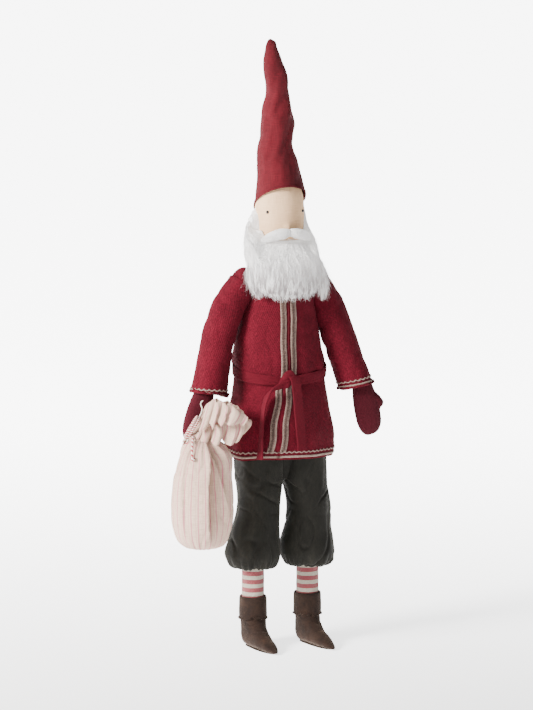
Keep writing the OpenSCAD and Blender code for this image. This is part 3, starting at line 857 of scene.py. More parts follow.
def wool_relief(points, seed):
    """Locks that run downwards, over broader lumps."""
    locks = field(points * (1, 1, 0.16), 4.5, seed)
    clumps = field(points * (1, 1, 0.4), 17, seed + 1)
    return 0.8 * locks + 2.4 * clumps


def fullness(share):
    """0 at the wool's lower and upper edges, and 1 a little way in."""
    return np.minimum(1, np.minimum(share, 1 - share) * 9) ** 0.5


def make_beard():
    rng = np.random.default_rng(11)
    turn, share = np.meshgrid(np.linspace(-BEARD_TURN, BEARD_TURN, BEARD_COLS),
                              np.linspace(0, 1, BEARD_ROWS))
    grid = beard_grid(turn, share)
    relief = wool_relief(grid, 21)
    low_edge = np.minimum(1, share * 9) ** 0.5
    base = push(grid, relief * fullness(share) - 3.0 * (1 - low_edge), closed=False)
    mass = thick(grid_object("beard_mass", base, WOOL, closed=False), 4)
    count, points = 6400, 10
    t0 = 1 - rng.random((count, 1)) ** 1.5 * 0.98
    side = rng.uniform(-0.99, 0.99, (count, 1)) * BEARD_TURN
    length = rng.uniform(0.22, 0.5, (count, 1))
    s = np.linspace(0, 1, points)[None, :]
    drift = rng.normal(0, 3.5, (count, 1)) * s + rng.normal(0, 1.6, (count, 1)) * np.sin(
        s * rng.uniform(3, 8, (count, 1)) + rng.uniform(0, 6, (count, 1)))
    at_t = t0 - length * s
    spot = beard_grid(np.clip(side + drift, -BEARD_TURN, BEARD_TURN), np.clip(at_t, 0.0, 1))
    out = unit((spot - (0, -6, 0)) * (1, 1, 0))
    full = fullness(np.clip(at_t, 0, 1))
    height = wool_relief(spot, 21) * full - 3.2 * (1 - full)
    height += 0.3 + rng.uniform(0, 1.0, (count, 1)) + rng.exponential(0.9, (count, 1)) * s ** 2
    paths = spot + out * height[..., None]
    hang = np.minimum(at_t, 0) * rng.uniform(6, 26, (count, 1))
    paths[..., 2] += hang
    paths[..., 1] += hang * 0.12
    radius = rng.uniform(0.15, 0.36, (count, 1)) * (1 - 0.8 * s ** 1.5) * np.minimum(1, s * 8 + 0.3)
    fibres = strands("beard_fibres", paths, radius, WOOL)
    place(mass, "torso", "wool", "beard")
    place(fibres, "torso", "wool")


def lock(name, axis, radii, seed, count, hang, spread=1.0):
    """A lock of wool: a ridged mass along an axis, with fibres drawn along it."""
    rng = np.random.default_rng(seed)
    steps = 30
    axis, radii = smooth_rows(axis, steps), smooth_rows(radii, steps)
    along, side, up = directions(axis, (0.05, 1.0, 0.1))

    def skin(i, a, grow):
        i0 = np.clip(i, 0, steps - 1.001).astype(int)
        f = np.clip(i - i0, 0, 1)[..., None]
        centre, ra = (part[i0] * (1 - f) + part[i0 + 1] * f for part in (axis, radii))
        ridges = 1 + 0.05 * np.sin(5 * a + seed) + 0.03 * np.sin(9 * a + 0.1 * i)
        ra = ra * ridges[..., None] + grow[..., None]
        return (centre + side[i0] * ra[..., :1] * np.cos(a)[..., None]
                + up[i0] * ra[..., 1:] * np.sin(a)[..., None])

    i, a = np.meshgrid(np.arange(float(steps)), np.linspace(0, 2 * np.pi, 40, endpoint=False),
                       indexing="ij")
    mass = capped(name + "_mass", skin(i, a, np.zeros_like(i)), WOOL)
    s = np.linspace(0, 1, 9)[None, :]
    start = rng.uniform(0, 20, (count, 1))
    i = start + rng.uniform(7, 14, (count, 1)) * s
    a = rng.uniform(0, 2 * np.pi, (count, 1)) + rng.normal(0, 0.3, (count, 1)) * s
    grow = rng.uniform(0, 0.7, (count, 1)) + spread * rng.exponential(0.7, (count, 1)) * s ** 2
    past = np.maximum(i - steps + 1, 0)[..., None]
    paths = skin(i, a, grow) + along[-1] * past * 1.2 - UP * hang * s[..., None] ** 2
    radius = rng.uniform(0.11, 0.24, (count, 1)) * (1 - 0.8 * s ** 1.5)
    return joined(name, [mass, strands(name + "_fibres", paths, radius, WOOL)])


LOCKS = {"left": [(38, -27, 560), (43, -32, 546), (48, -37, 529), (50, -40, 514), (49, -42, 502)],
         "right": [(-46, -24, 560), (-50, -30, 546), (-52, -35, 532), (-49, -38, 519), (-44, -39, 508)]}
LOCK_RADII = [(3, 3), (6, 5), (6.4, 5.4), (4.4, 4), (0.8, 0.8)]
# One lobe of the moustache, on the doll's left, and its radii
LOBE = [(0.5, -41.5, 590), (6, -42.8, 590.2), (15, -41.5, 589.4), (25, -35.5, 586), (35, -26, 580)]
LOBE_RADII = [(4.6, 4.4), (5.2, 5.2), (5.3, 5.6), (4.4, 4.8), (1.6, 1.8)]


def make_locks():
    for side, sign in SIDES.items():
        hair = lock("beard_side_" + side, LOCKS[side], LOCK_RADII, 31 + sign, 1900, 5, 3.6)
        place(hair, "torso", "wool", "beard_side_" + side)
        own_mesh(hair)


def make_moustache():
    lobes = []
    for side, sign in SIDES.items():
        lobes.append(lock("moustache_" + side, np.array(LOBE) * (sign, 1, 1), LOBE_RADII, 41 + sign,
                          2600, 2.0))
    place(joined("moustache", lobes), "torso", "wool", "moustache")


# The mouth: a brownish line of wool under the moustache, partly the mouth itself and partly painted shade
# under the moustache
def make_mouth_shade():
    mouth = tube("mouth", smooth_rows([(-6, -45.5, 582), (-2, -47.4, 581.5), (3, -47.3, 581.6),
                                       (7, -45.6, 582)], 12), 0.8, MOUTH_SHADE_WOOL, 8,
                 np.sin(np.linspace(0.25, math.pi - 0.25, 12)))
    place(mouth, "torso", "wool")


# ---- Hat ----------------------------------------------------------------------------------------

HAT = [(630, 1, 0.5, 36.4, 36.8, -0.62), (640, 1, 1, 35, 35.8, -0.52),
       (651.6, 0, 1, 33.2, 34, -0.42), (668, -1.2, 0, 30.6, 31.4, -0.28),
       (689, -2.6, 0, 28, 28.3, -0.1), (701, -4.4, 0, 25.6, 26, 0),
       (710, -5, 0, 24.2, 24.4, 0), (720, -3.6, 0, 23.7, 24, 0), (739, -3.3, 0, 24.6, 24.2, 0),
       (760, -4.5, 0, 21.5, 21.7, 0), (780, -3.3, 0, 17.9, 18, 0), (796, -4.2, 0, 16.8, 16.6, 0),
       (810, -5.5, 0, 15.9, 15.6, 0), (828, -9.8, 0, 12.8, 12.6, 0), (844, -12.7, 0, 8.2, 8.4, 0),
       (852, -12.4, 0, 6.2, 6.2, 0), (855.5, -13.2, 0, 3.4, 3.4, 0),
       (HAT_TIP_Z - 3, -13.4, 0, 0.6, 0.6, 0)]
HEM_ROWS = 9                    # rows of the hat's grid in its turned hem


def hat_grid():
    table = smooth_rows(HAT, 260)
    table[:, 3:5] = np.maximum(table[:, 3:5], 0.5)
    grid = rounded(table, 160)
    swirl = np.stack([grid[..., 0] + 0.16 * grid[..., 2], grid[..., 1],
                      0.42 * grid[..., 2] - 0.7 * grid[..., 0]], axis=2)
    soft = field(swirl * (0.7, 0.7, 1), 19, 51, 2)
    lines = creases(swirl * (0.6, 0.6, 1), 27, 53, 0.26) + 0.35 * creases(grid, 20, 55, 0.2)
    slack = smoothstep(grid[..., 2], 640, 700) * (1 - 0.85 * smoothstep(grid[..., 2], 790, 850))
    return push(grid, (0.3 + 0.7 * slack) * (2.6 * soft + 1.2 * lines))


def make_hat():
    grid = hat_grid()
    hem = np.clip(1 - np.arange(len(grid)) / HEM_ROWS, 0, 1)
    roll = (0.6 + 0.4 * np.sin(np.pi * hem)) * (np.arange(len(grid)) < HEM_ROWS)
    turned = push(grid, roll[:, None])
    shell = thick(grid_object("hat", turned, HAT_LINEN, high_cap=True), 1.3, finer=True)
    place(shell, "hat", "hat_linen", "hat_shell", "hat_filling")
    place(seam("hat_seam", grid, 0, 246, 200, 0.6, 0.7, HAT_LINEN), "hat", "hat_linen")
    make_hat_stitches(turned)


def make_hat_stitches(turned):
    """A row of short stitches round the top of the turned hem."""
    cols_at = np.arange(0, turned.shape[1], 0.9)
    rows_at = np.full(len(cols_at), HEM_ROWS - 0.8)
    on, out = sample(turned, rows_at, cols_at), sample(normals(turned), rows_at, cols_at)
    steps = np.linspace(-0.5, 0.5, 5)[None, :, None]
    paths = (on + 0.35 * out)[:, None] + unit(np.gradient(on, axis=0))[:, None] * steps * 0.95
    paths -= out[:, None] * (2 * np.abs(steps)) ** 3 * 0.5
    thread = strands("hat_stitches", paths, np.full(paths.shape[:2], 0.2), HAT_LINEN)
    place(thread, "hat", "hat_linen")


# ---- Coat ---------------------------------------------------------------------------------------

COAT = [(384, 0, 0, 64.4, 44, 0.2), (394, -0.5, 0, 64.6, 44.4, 0.2), (402, -1, 0, 66.4, 46.6, 0.15),
        (412, -1.5, 0, 65.8, 46.6, 0.05), (428, -2.5, 0, 63, 45.4, 0), (445, -3.5, 0, 59.8, 44.2, 0),
        (470, -3, 0, 54.5, 42.6, 0), (497, -1, 0, 48, 40.4, 0), (515, 0, 0, 44.5, 38, 0),
        (527, 0, 0, 43.8, 35.8, 0), (535, 0, 0, 41, 33.8, 0), (540, 0, 0, 36, 32, 0),
        (543.5, 0, 0, 30.6, 30.2, 0)]
SKIRT = [(HEM_Z, 0, 0, 76, 55.6, 0), (HEM_Z + 4, 0, 0, 77, 56.2, 0), (HEM_Z + 16, 0, 0, 78, 57.2, 0),
         (HEM_Z + 34, 0, 0, 77.4, 57.2, 0), (330, 0, 0, 73.4, 54, 0), (355, 0, 0, 69, 49.8, 0),
         (374, 0, 0, 66.2, 46.4, 0.1), (386, 0, 0, 64.8, 44.6, 0.2), (396, 0, 0, 64, 44, 0.2)]
COAT_COLS = 200
COAT_THICK, BELT_THICK, BREECHES_THICK = 2.2, 2.2, 1.6
COAT_TOP, COAT_BOTTOM, SKIRT_TOP = 540, 388, 386        # ends of the tapes
# x of each tape at its upper and its lower end
FRONT_TAPES = {"right": (-8, -11), "left": (6.6, 3.6)}
SKIRT_TAPES = {"right": (-15, -33), "left": (-1, -16)}
# Distances of the trims' lower and upper edges from the cloth's edge
HEM_BRAID, HEM_SCALLOP = (3.0, 6.2), (9.2, 11.0)
CUFF_BRAID, CUFF_SCALLOP = (2.8, 5.8), (8.8, 10.6)


def make_coat_body():
    grid = rounded(smooth_rows(COAT, 130), COAT_COLS, 2.15)
    gather = smoothstep(grid[..., 2], 440, 400)
    around = np.arctan2(grid[..., 1], grid[..., 0])
    folds = np.sin(9 * around + 2.2 * np.sin(2 * around + 1)) * gather * 0.9
    soft = field(grid * (1, 1, 0.7), 34, 61, 2)
    grid = push(grid, folds + 1.3 * soft + 0.6 * creases(grid, 40, 62))
    place(thick(grid_object("coat_body", grid, COAT_FELT), COAT_THICK), "torso", "coat_felt",
          "coat_body", "coat_neckband")
    for side, (top, bottom) in FRONT_TAPES.items():
        strip = tape("front_tape_" + side, grid, (top, COAT_TOP), (bottom, COAT_BOTTOM), TAPE_WIDTH,
                     BRAID)
        place(strip, "torso", "braid", "front_tape_" + side)
    slit = tape("front_slit", grid, (-0.8, COAT_TOP), (-3.7, COAT_BOTTOM), 1.0, SLIT_FELT)
    place(slit, "torso", "coat_felt")


def skirt_grid():
    """The skirt, its middle columns along the coat's front opening, which drifts to the right."""
    table = smooth_rows(SKIRT, 110)
    below = (WAIST_Z - table[:, 0]) / (WAIST_Z - HEM_Z)
    opening = -8 - 16.5 * np.clip(below, 0, 1)
    front = 1.5 * np.pi
    a = angles(COAT_COLS)
    lean = np.arcsin(opening / table[:, 3])[:, None] * np.cos((a - front) / 2) ** 2
    grid = rounded(table, COAT_COLS, 2.12, lean)
    a = a + lean
    fall = smoothstep(table[:, 0], WAIST_Z - 4, 320)[:, None]
    folds = np.sin(7 * a + 1.3 * np.sin(a * 2)) * (0.5 + fall) * 1.1
    soft = field(grid * (1, 1, 0.6), 38, 63, 2)
    grid = push(grid, folds + 1.4 * soft + 0.6 * creases(grid, 42, 64))
    dip = -1.6 * np.cos(a - front) + 1.6 * np.sin(3 * a + 0.5)
    grid[..., 2] += dip * np.clip((330 - table[:, 0]) / 56, 0, 1)[:, None]
    return grid


def with_leg(piece, side, slot, *nodes):
    """A piece of the skirt rides the torso, with a mesh of its own."""
    place(piece, "torso", slot, *nodes)
    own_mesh(piece)
    return piece


def make_skirt():
    grid = skirt_grid()
    middle = COAT_COLS // 2
    parts = {"right": grid[:, :middle + 1],
             "left": np.concatenate([grid[:, middle:], grid[:, :1]], axis=1)}
    for side, part in parts.items():
        panel = thick(grid_object("coat_skirt_" + side, part, COAT_FELT, closed=False), COAT_THICK)
        with_leg(panel, side, "coat_felt", "coat_skirt")
    for side, cols in (("right", (0, middle)), ("left", (middle, COAT_COLS))):
        points = trim("hem_scallop_" + side, grid, *rows_up(grid, *HEM_SCALLOP), cols, BRAID, True)
        with_leg(points, side, "braid", "hem_scallop")
        line = trim("hem_braid_" + side, grid, *rows_up(grid, *HEM_BRAID), cols, BRAID)
        with_leg(line, side, "braid", "hem_braid")
    for side, (top, bottom) in SKIRT_TAPES.items():
        strip = tape("skirt_tape_" + side, grid, (top, SKIRT_TOP), (bottom, HEM_Z + HEM_SCALLOP[1]),
                     TAPE_WIDTH, BRAID, wave=1.0)
        with_leg(strip, side, "braid", "skirt_tape_" + side)


BELT_A, BELT_B, BELT_TILT = 67.2, 47.4, 0.2
KNOT = np.array([-7.0, -53.5, 386.0])


def band(name, route, across, widths, thickness, fold):
    """A flat band of felt along a route from the knot, with its width's direction at each point."""
    route, across = smooth_rows(KNOT + np.array(route), 60), unit(smooth_rows(across, 60))
    widths = smooth_rows(np.array(widths, float)[:, None], 60)
    f = np.linspace(-0.5, 0.5, 15)
    grid = route[:, None] + across[:, None] * f[None, :, None] * widths[:, None]
    grid = push(grid, fold * np.cos(np.pi * f)[None, :] + 0 * grid[..., 0], closed=False)
    grid = push(grid, 0.5 * field(grid, 14, 71), closed=False)
    return thick(grid_object(name, grid, BELT_FELT, closed=False), thickness, finer=True)


def make_belt_band():
    half = (BELT_HIGH - BELT_LOW - 2 * BELT_TILT * BELT_B) / 2 + 0.6
    rows = np.linspace(-half, half, 15)
    round_off = 0.7 * (1 - (rows / half) ** 4) - 0.5 * bell(rows, -0.45 * half, 1.2)
    table = [(BELT_Z + z, 0, 0, BELT_A + r, BELT_B + r, BELT_TILT) for z, r in zip(rows, round_off)]
    grid = rounded(table, 220, 2.12)
    front = bell(grid[..., 0], KNOT[0], 24) * (grid[..., 1] < 0)
    grid[..., 2] = grid[..., 2] - 1.5 * front - (grid[..., 2] - BELT_Z + 9) * 0.25 * front
    grid = push(grid, 0.6 * field(grid * (1, 1, 2), 24, 72))
    place(thick(grid_object("belt_band", grid, BELT_FELT), BELT_THICK, finer=True), "torso", "belt_felt",
          "belt_band")


def make_belt_knot():
    loop = band("belt_knot",
                [(-9, 3, -8), (-8.5, -3, -2), (-5, -7, 6), (2, -7.5, 9), (7, -5, 6), (8, -1, 0)],
                [(0.7, -0.1, -0.7), (0.6, 0, -0.8), (0.4, 0.2, -0.9), (0.25, 0.3, -0.95),
                 (0.1, 0.6, -0.8), (0, 0.7, -0.7)], [10, 12, 13.5, 13.5, 12, 9], 2.4, 1.5)
    under = band("knot_under", [(9, 1, 5), (4, -4, 1), (-3, -6, -4), (-10, -3, -8)],
                 [(-0.3, 0, 0.95), (-0.35, 0, 0.93), (-0.4, 0, 0.9), (-0.5, 0, 0.85)],
                 [11, 13, 13, 11], 2.4, 1.8)
    place(joined("belt_knot", [loop, under]), "torso", "belt_felt", "belt_knot")


def make_belt_tails():
    flat = [(3, -7.5, 8), (8, -9.5, 0), (11, -9, -16), (14, -8.5, -45), (17, -8, -75),
            (19, -8.5, -100)]
    wide = [(0.9, 0.25, 0.3), (0.93, 0.2, 0.1), (0.95, 0.2, 0), (0.95, 0.22, 0), (0.95, 0.25, 0),
            (0.95, 0.25, 0)]
    tail = band("belt_tail_left", flat[::-1], wide[::-1], [15.5, 16, 15.5, 15, 14.5, 11],
                BELT_THICK, 0.4)
    with_leg(tail, "left", "belt_felt", "belt_tail_left")
    edge = [(-4, -5, -5), (-15, -4.5, -7), (-26, -3, -12), (-34, -1.5, -25), (-38.5, -1, -47),
            (-41, -1.5, -79), (-42.5, -2, -100), (-43, -2, -110)]
    thin = [(0.1, -0.35, 0.93), (0.15, -0.45, 0.88), (0.25, -0.75, 0.6), (0.08, -0.98, 0.15),
            (0.02, -0.99, 0.05), (0.02, -0.99, 0), (0.2, -0.97, 0), (0.42, -0.9, 0.1)]
    tail = band("belt_tail_right", edge[::-1], thin[::-1], [14, 14.5, 14, 13.5, 13.5, 13, 12, 10],
                BELT_THICK, 0.6)
    with_leg(tail, "right", "belt_felt", "belt_tail_right")


# ---- Sleeves and mittens ------------------------------------------------------------------------

ARM_SPLAY, ARM_LEAN = 19.3, 5.0
SLEEVE_LENGTH, MITTEN_LENGTH = 160, 75
ELBOW_BOW = {"left": 0.5, "right": 9.5}
SLEEVE_END = {"left": 25.0, "right": 25.6}
CUFF_LEVEL = {"left": 0.17, "right": 0.1}      # how far each cuff is turned back to level
WRIST = {"left": (9.0, 0.14), "right": (6.0, 0.03)}


def on_arm(side, grid):
    """From a straight arm hanging below its shoulder joint to its place."""
    sign = SIDES[side]
    turn = np.array(Matrix.Rotation(math.radians(-sign * ARM_SPLAY), 3, "Y")
                    @ Matrix.Rotation(math.radians(-ARM_LEAN), 3, "X"))
    return grid @ turn.T + SHOULDER[side]


def sleeve_grid(side):
    sign, bow = SIDES[side], ELBOW_BOW[side]
    end = SLEEVE_END[side]
    levels = [(SLEEVE_LENGTH, end), (SLEEVE_LENGTH - 3, end - 0.2), (130, end - 1.2), (100, 24),
              (60, 24), (30, 23.6), (0, 22.6)]
    levels += [(-22.5 * math.sin(math.radians(t)), 22.6 * math.cos(math.radians(t)))
               for t in (20, 40, 60, 78, 88)]
    table = smooth_rows(levels, 130)
    down, radius = table[:, 0], np.maximum(table[:, 1], 0.5)
    share = np.clip(down / SLEEVE_LENGTH, 0, 1)
    shift = bow * np.sin(np.pi * share ** 0.8)
    slope = np.gradient(shift, down)
    a = angles(110)
    x = radius[:, None] * np.cos(a)
    slim = 0.36 * smoothstep(down, 44, -12)[:, None] * smoothstep(sign * np.cos(a), -0.1, 0.9)
    level = CUFF_LEVEL[side] * smoothstep(down, 125, SLEEVE_LENGTH)
    grid = np.stack([sign * shift[:, None] + x * (1 - slim), radius[:, None] * 0.96 * np.sin(a),
                     -down[:, None] + sign * (slope - level)[:, None] * x], axis=2)
    soft = field(grid * (1, 1, 1.2), 30, 81 + sign, 2)
    inner = bell(grid[..., 2], -74, 34) * smoothstep(-sign * grid[..., 0], 0, 18)
    pinch = np.sin(grid[..., 2] / 4.6 + 0.35 * grid[..., 1] / 4.6) * inner * 0.8
    lines = creases(grid * (1, 1, 1.6), 40, 83 + sign, 0.07)
    return on_arm(side, push(grid, 1.1 * soft + pinch + 0.7 * lines))


def make_sleeve(side):
    grid = sleeve_grid(side)
    body = "arm_" + side
    sleeve = thick(grid_object("sleeve_" + side, grid, COAT_FELT, high_cap=True), 2.0)
    place(sleeve, body, "coat_felt", "sleeve_" + side)
    cols = (0, grid.shape[1])
    points = trim("cuff_scallop_" + side, grid, *rows_up(grid, *CUFF_SCALLOP), cols, BRAID, True)
    place(points, body, "braid", "cuff_scallop_" + side)
    line = trim("cuff_braid_" + side, grid, *rows_up(grid, *CUFF_BRAID), cols, BRAID)
    place(line, body, "braid", "cuff_braid_" + side)


MITTEN = [(1.0, 4, 3), (0.985, 8, 5), (0.94, 12.6, 7.2), (0.81, 17.6, 9.2), (0.55, 19.6, 9.8),
          (0.25, 17.8, 9.6), (0.06, 15.0, 9.6), (-0.12, 12.5, 9.5)]


def make_mitten(side):
    table = [(-SLEEVE_LENGTH - MITTEN_LENGTH * s, 0, 0, a, b, 0) for s, a, b in MITTEN]
    palm = capped("palm", rounded(smooth_rows(table, 60), 60, 2.25), MITTEN_FELT)
    top = -SLEEVE_LENGTH
    thumb = tube("thumb", smooth_rows([(2, 0, top - 10), (9, -0.5, top - 19), (16, -1, top - 29),
                                       (20, -1, top - 38), (21.5, -1, top - 44)], 24), 7.0,
                 MITTEN_FELT, 28, np.concatenate([np.linspace(1.1, 0.95, 19),
                                                  [0.88, 0.78, 0.63, 0.42, 0.15]]))
    mitten = joined("mitten_" + side, [palm, thumb])
    swollen(mitten, 1.8, 1.6, 2.0)
    modified(mitten, ("SMOOTH", {"factor": 0.5, "iterations": 6}))
    flat = coordinates(mitten)
    stitched = 0.3 * bell(flat[:, 1], 0, 0.9)
    flat += vertex_normals(mitten) * (0.5 * field(flat, 16, 91) + stitched)[:, None]
    out, hang = WRIST[side]
    flat[:, 0] += SIDES[side] * (out - hang * (top - flat[:, 2]))
    set_coordinates(mitten, on_arm(side, flat))
    place(mitten, "arm_" + side, "mitten_felt", "mitten_" + side)


# ---- Breeches, stockings and boots --------------------------------------------------------------

def make_seat():
    table = [(238, 0, 0, 44, 15, 0), (242, 0, 0, 50, 20, 0), (262, 0, 0, 58, 28, 0),
             (300, 0, 0, 63.6, 36.8, 0), (335, 0, 0, 61.4, 38.4, 0), (346, 0, 0, 60, 38, 0)]
    grid = rounded(smooth_rows(table, 60), 120, 2.3)
    grid = push(grid, 0.5 * field(grid, 18, 95))
    seat = thick(grid_object("breeches_seat", grid, VELVET, low_cap=True), BREECHES_THICK)
    place(seat, "torso", "velvet", "breeches_seat")


LEG_X = 41                      # of each stocking and boot, from the doll's middle
# Height, half width, half depth and distance from the middle, from the bulge up to the crotch
LEG_SHAPE = {"right": [(136, 39.6, 38, 41), (150, 38, 37, 39.6), (168, 34.6, 35, 37.4),
                       (190, 31, 33.6, 33.6), (210, 30.2, 33.2, 31.8), (226, 31.4, 33.2, 32),
                       (240, 32.4, 33.6, 32.6)],
             "left": [(136, 38.4, 38, 40.6), (150, 37, 37, 40), (168, 33.4, 35, 40.4),
                      (188, 31.8, 33.6, 42.4), (208, 31.4, 33.2, 41.6), (226, 31, 33.2, 37.4),
                      (240, 32, 33.6, 33.6)]}


def breeches_grid(side):
    sign = SIDES[side]
    y = HIP[side][1]
    table = [(KNEE_Z + 2, 16.4, 16.4, LEG_X), (KNEE_Z - 3, 20, 20, LEG_X),
             (KNEE_Z - 4, 27, 26.5, LEG_X), (KNEE_Z, 34, 33, LEG_X),
             (KNEE_Z + 10, 38.2, 37.2, LEG_X), *LEG_SHAPE[side],
             (262, 32.2, 34.6, 32.8), (285, 32, 35.6, 32.6), (304, 31.6, 36, 32.2)]
    fine = smooth_rows([(z, sign * x, y, a, b, 0) for z, a, b, x in table], 190)
    power = np.interp(fine[:, 0], [KNEE_Z + 20, 200, 240, 290], [2.0, 2.05, 2.5, 2.7])
    grid = rounded(fine, 150, power)
    a = angles(150) + 0 * fine[:, :1]
    knee = bell(fine[:, :1], KNEE_Z + 2, 9.0)
    pleats = np.abs(np.sin(11 * a + 1.8 * np.sin(3 * a + sign))) * 2.0 - 1.1
    low = smoothstep(fine[:, 0], 215, 130)[:, None]
    crotch = bell(fine[:, :1], 226, 26)
    drag = np.stack([grid[..., 0] - 0.75 * sign * grid[..., 2], grid[..., 1], grid[..., 2]], 2)
    soft = field(grid * (1, 1, 0.6), 30, 101 + sign, 2)
    lines = creases(grid * (1, 1, 0.75), 34, 103 + sign, 0.09)
    pulled = creases(drag, 30, 105 + sign, 0.1)
    amount = knee * pleats * 1.3 + 1.9 * soft + 1.5 * lines * (0.4 + low) + 2.0 * pulled * crotch
    middle = smoothstep(np.abs(grid[..., 0]), 0.5, 9)
    grid = push(grid, amount * (0.25 + 0.75 * middle))
    grid[..., 0] = np.where(sign * grid[..., 0] < 0.7, sign * 0.7, grid[..., 0])
    return grid


def make_breeches_leg(side):
    grid = breeches_grid(side)
    leg = thick(grid_object("breeches_leg_" + side, grid, VELVET), BREECHES_THICK)
    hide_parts("breeches_leg_" + side)
    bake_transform(leg)


def make_stocking(side):
    sign, y = SIDES[side], HIP[side][1]
    levels = (45, 60, 80, 100, 120, 140)
    skin = rounded(smooth_rows([(z, sign * LEG_X, y, 15.75, 15.75, 0) for z in levels], 90), 90)
    skin = push(skin, 0.25 * field(skin, 12, 111 + sign) + 0.15 * field(skin, 5, 113))
    stocking = capped("stocking_" + side, skin, KNIT)
    place(stocking, "leg_" + side, "stocking", "stocking_" + side)


BOOT_TURN = {"left": 11, "right": 8}
# Down the boot from its top to the toe: front (y, z), back (y, z), half width
BOOT = [((-17.4, 71), (17.4, 71), 17.4), ((-17.6, 60), (17.6, 60), 17.6), ((-17.8, 48), (17.6, 46), 17.4),
        ((-18.6, 40), (17.6, 35), 16.9), ((-21.5, 33.5), (18.2, 23), 16.4), ((-26, 28.5), (19, 12), 16.2),
        ((-32, 24.4), (17.2, 4.6), 15.6), ((-39, 20.6), (9, 1.4), 15), ((-46, 17), (-7, 1.2), 14),
        ((-53, 13.6), (-26, 1.2), 12.4), ((-59, 10.6), (-43, 1.2), 10.2), ((-64, 8), (-56, 1.2), 7.4),
        ((-68.4, 5.8), (-65.6, 1.6), 4.4), ((-71, 4.4), (-70.8, 2.4), 1.6)]


def boot_place(side, grid):
    turn = np.array(Matrix.Rotation(math.radians(BOOT_TURN[side]), 3, "Z"))
    return grid @ turn.T + (SIDES[side] * LEG_X, HIP[side][1], 0)


def make_boot(side):
    table = smooth_rows([(*front, *back, w) for front, back, w in BOOT], 110)
    front_y, front_z, back_y, back_z, wide = (column[:, None] for column in table.T)
    along, aside = superellipse(np.linspace(0, 2 * np.pi, 90, endpoint=False)[None, :], 2 / 2.2)
    grid = np.stack([-wide * aside, (front_y + back_y) / 2 - (back_y - front_y) / 2 * along,
                     (front_z + back_z) / 2 + (front_z - back_z) / 2 * along], 2)
    ankle = bell(grid[..., 2], 33, 11) * smoothstep(-grid[..., 1], -4, 14)
    lines = creases(grid * (0.5, 1, 1.5), 16, 123 + SIDES[side], 0.12)
    grid = push(grid, 0.8 * field(grid, 17, 121 + SIDES[side], 2) + 0.9 * lines * ankle)
    grid[..., 2] = np.maximum(grid[..., 2], 1.0)
    boot = modified(capped("boot_" + side, boot_place(side, grid), SUEDE), SUBDIVIDED)
    place(boot, "leg_" + side, "suede", "boot_" + side)


# Half the sole's outline from the heel to the toe, and its edge's (height, share of the outline)
SOLE = [(0, 11.6), (6, 10), (9.4, 4), (10.2, -8), (10.2, -25), (8.8, -41), (5.8, -54), (2.6, -61),
        (0, -63)]
SOLE_EDGE = [(0.0, 0.94), (0.3, 0.985), (0.9, 1.0), (1.5, 0.985), (1.8, 0.93)]
SOLE_MIDDLE = (0, -23)


def make_sole(side):
    outline = np.array(SOLE)
    around = np.concatenate([outline, outline[-2:0:-1] * (-1, 1), outline[:1]])
    loop = smooth_rows(around, 121)[:-1][::-1] - SOLE_MIDDLE
    grid = np.stack([np.concatenate([loop * share + SOLE_MIDDLE, np.full((len(loop), 1), z)], 1)
                     for z, share in SOLE_EDGE])
    sole = capped("boot_sole_" + side, boot_place(side, grid), SOLE_SUEDE)
    place(sole, "leg_" + side, "suede", "boot_sole_" + side)


def make_boot_cuff(side):
    sign = SIDES[side]
    levels = [(CUFF_LOW, 19.6), (CUFF_LOW + 1, 20.0), (CUFF_LOW + 9, 19.9), (BOOT_TOP - 10, 19.6),
              (BOOT_TOP - 2.4, 19.3), (BOOT_TOP - 0.5, 18.5), (BOOT_TOP, 17.6), (BOOT_TOP - 2, 16.6),
              (BOOT_TOP - 8, 16.3)]
    cuff = rounded(smooth_rows([(z, 0, 0, r, r, 0) for z, r in levels], 60), 100)
    wave = smoothstep(cuff[..., 2], BOOT_TOP - 12, CUFF_LOW)
    ring = angles(100)
    cuff = push(cuff, 0.4 * field(cuff, 15, 131 + sign) + 0.3 * np.sin(4 * ring + sign) * wave)
    cuff[..., 2] += wave * (1.3 * np.sin(2 * ring + 0.6 * sign) + 0.5 * np.sin(5 * ring))
    cuff = thick(grid_object("boot_cuff_" + side, boot_place(side, cuff), CUFF_SUEDE), 1.6)
    place(cuff, "leg_" + side, "suede", "boot_cuff_" + side)


# ---- Sack ---------------------------------------------------------------------------------------

BAG = np.array([-132.0, -54.0])
BAG_R = 43.0
BAG_SHAPE = [(SACK_BOTTOM + 4, 18, 15, 1, 0), (SACK_BOTTOM + 7, 28, 24, 0, 0),
             (SACK_BOTTOM + 16, 36, 32, -1, 0), (SACK_BOTTOM + 33, 42, 37, -1, 0),
             (210, 45, 39, 0, 0), (235, 44, 37.5, -0.5, 0), (258, 42, 34.5, 0, 0),
             (276, 39.6, 32, 3.6, 0), (290, 36.5, 28, 4.6, 2), (301, 30.5, 22.5, 3, 5),
             (309, 22.5, 16.5, -2, 9), (316, 13.6, 12, -6, 12), (322, 10, 9, -7, 13)]
SACK_COTTON = striped_sack("sack_cotton", 2 * math.pi * BAG_R * MM, 25)
# The ruffle's own directions: across towards the coat, and out to the front
ACROSS = np.array([0.94, -0.342, 0.0])
OUT = np.array([-0.342, -0.94, 0.0])
FAN_AXES = np.stack([ACROSS, UP, OUT])


# The bag's folds: angle round it in degrees, lean and bend of the fold over its height, depth, and
# width of its slack side. The first is deep and down the front; the second faces the coat.
BAG_FOLDS = [(-97, 2, 17, 14.0, 30), (-54, -27, 0, 10.0, 14), (-150, -6, 0, 2.5, 14)]


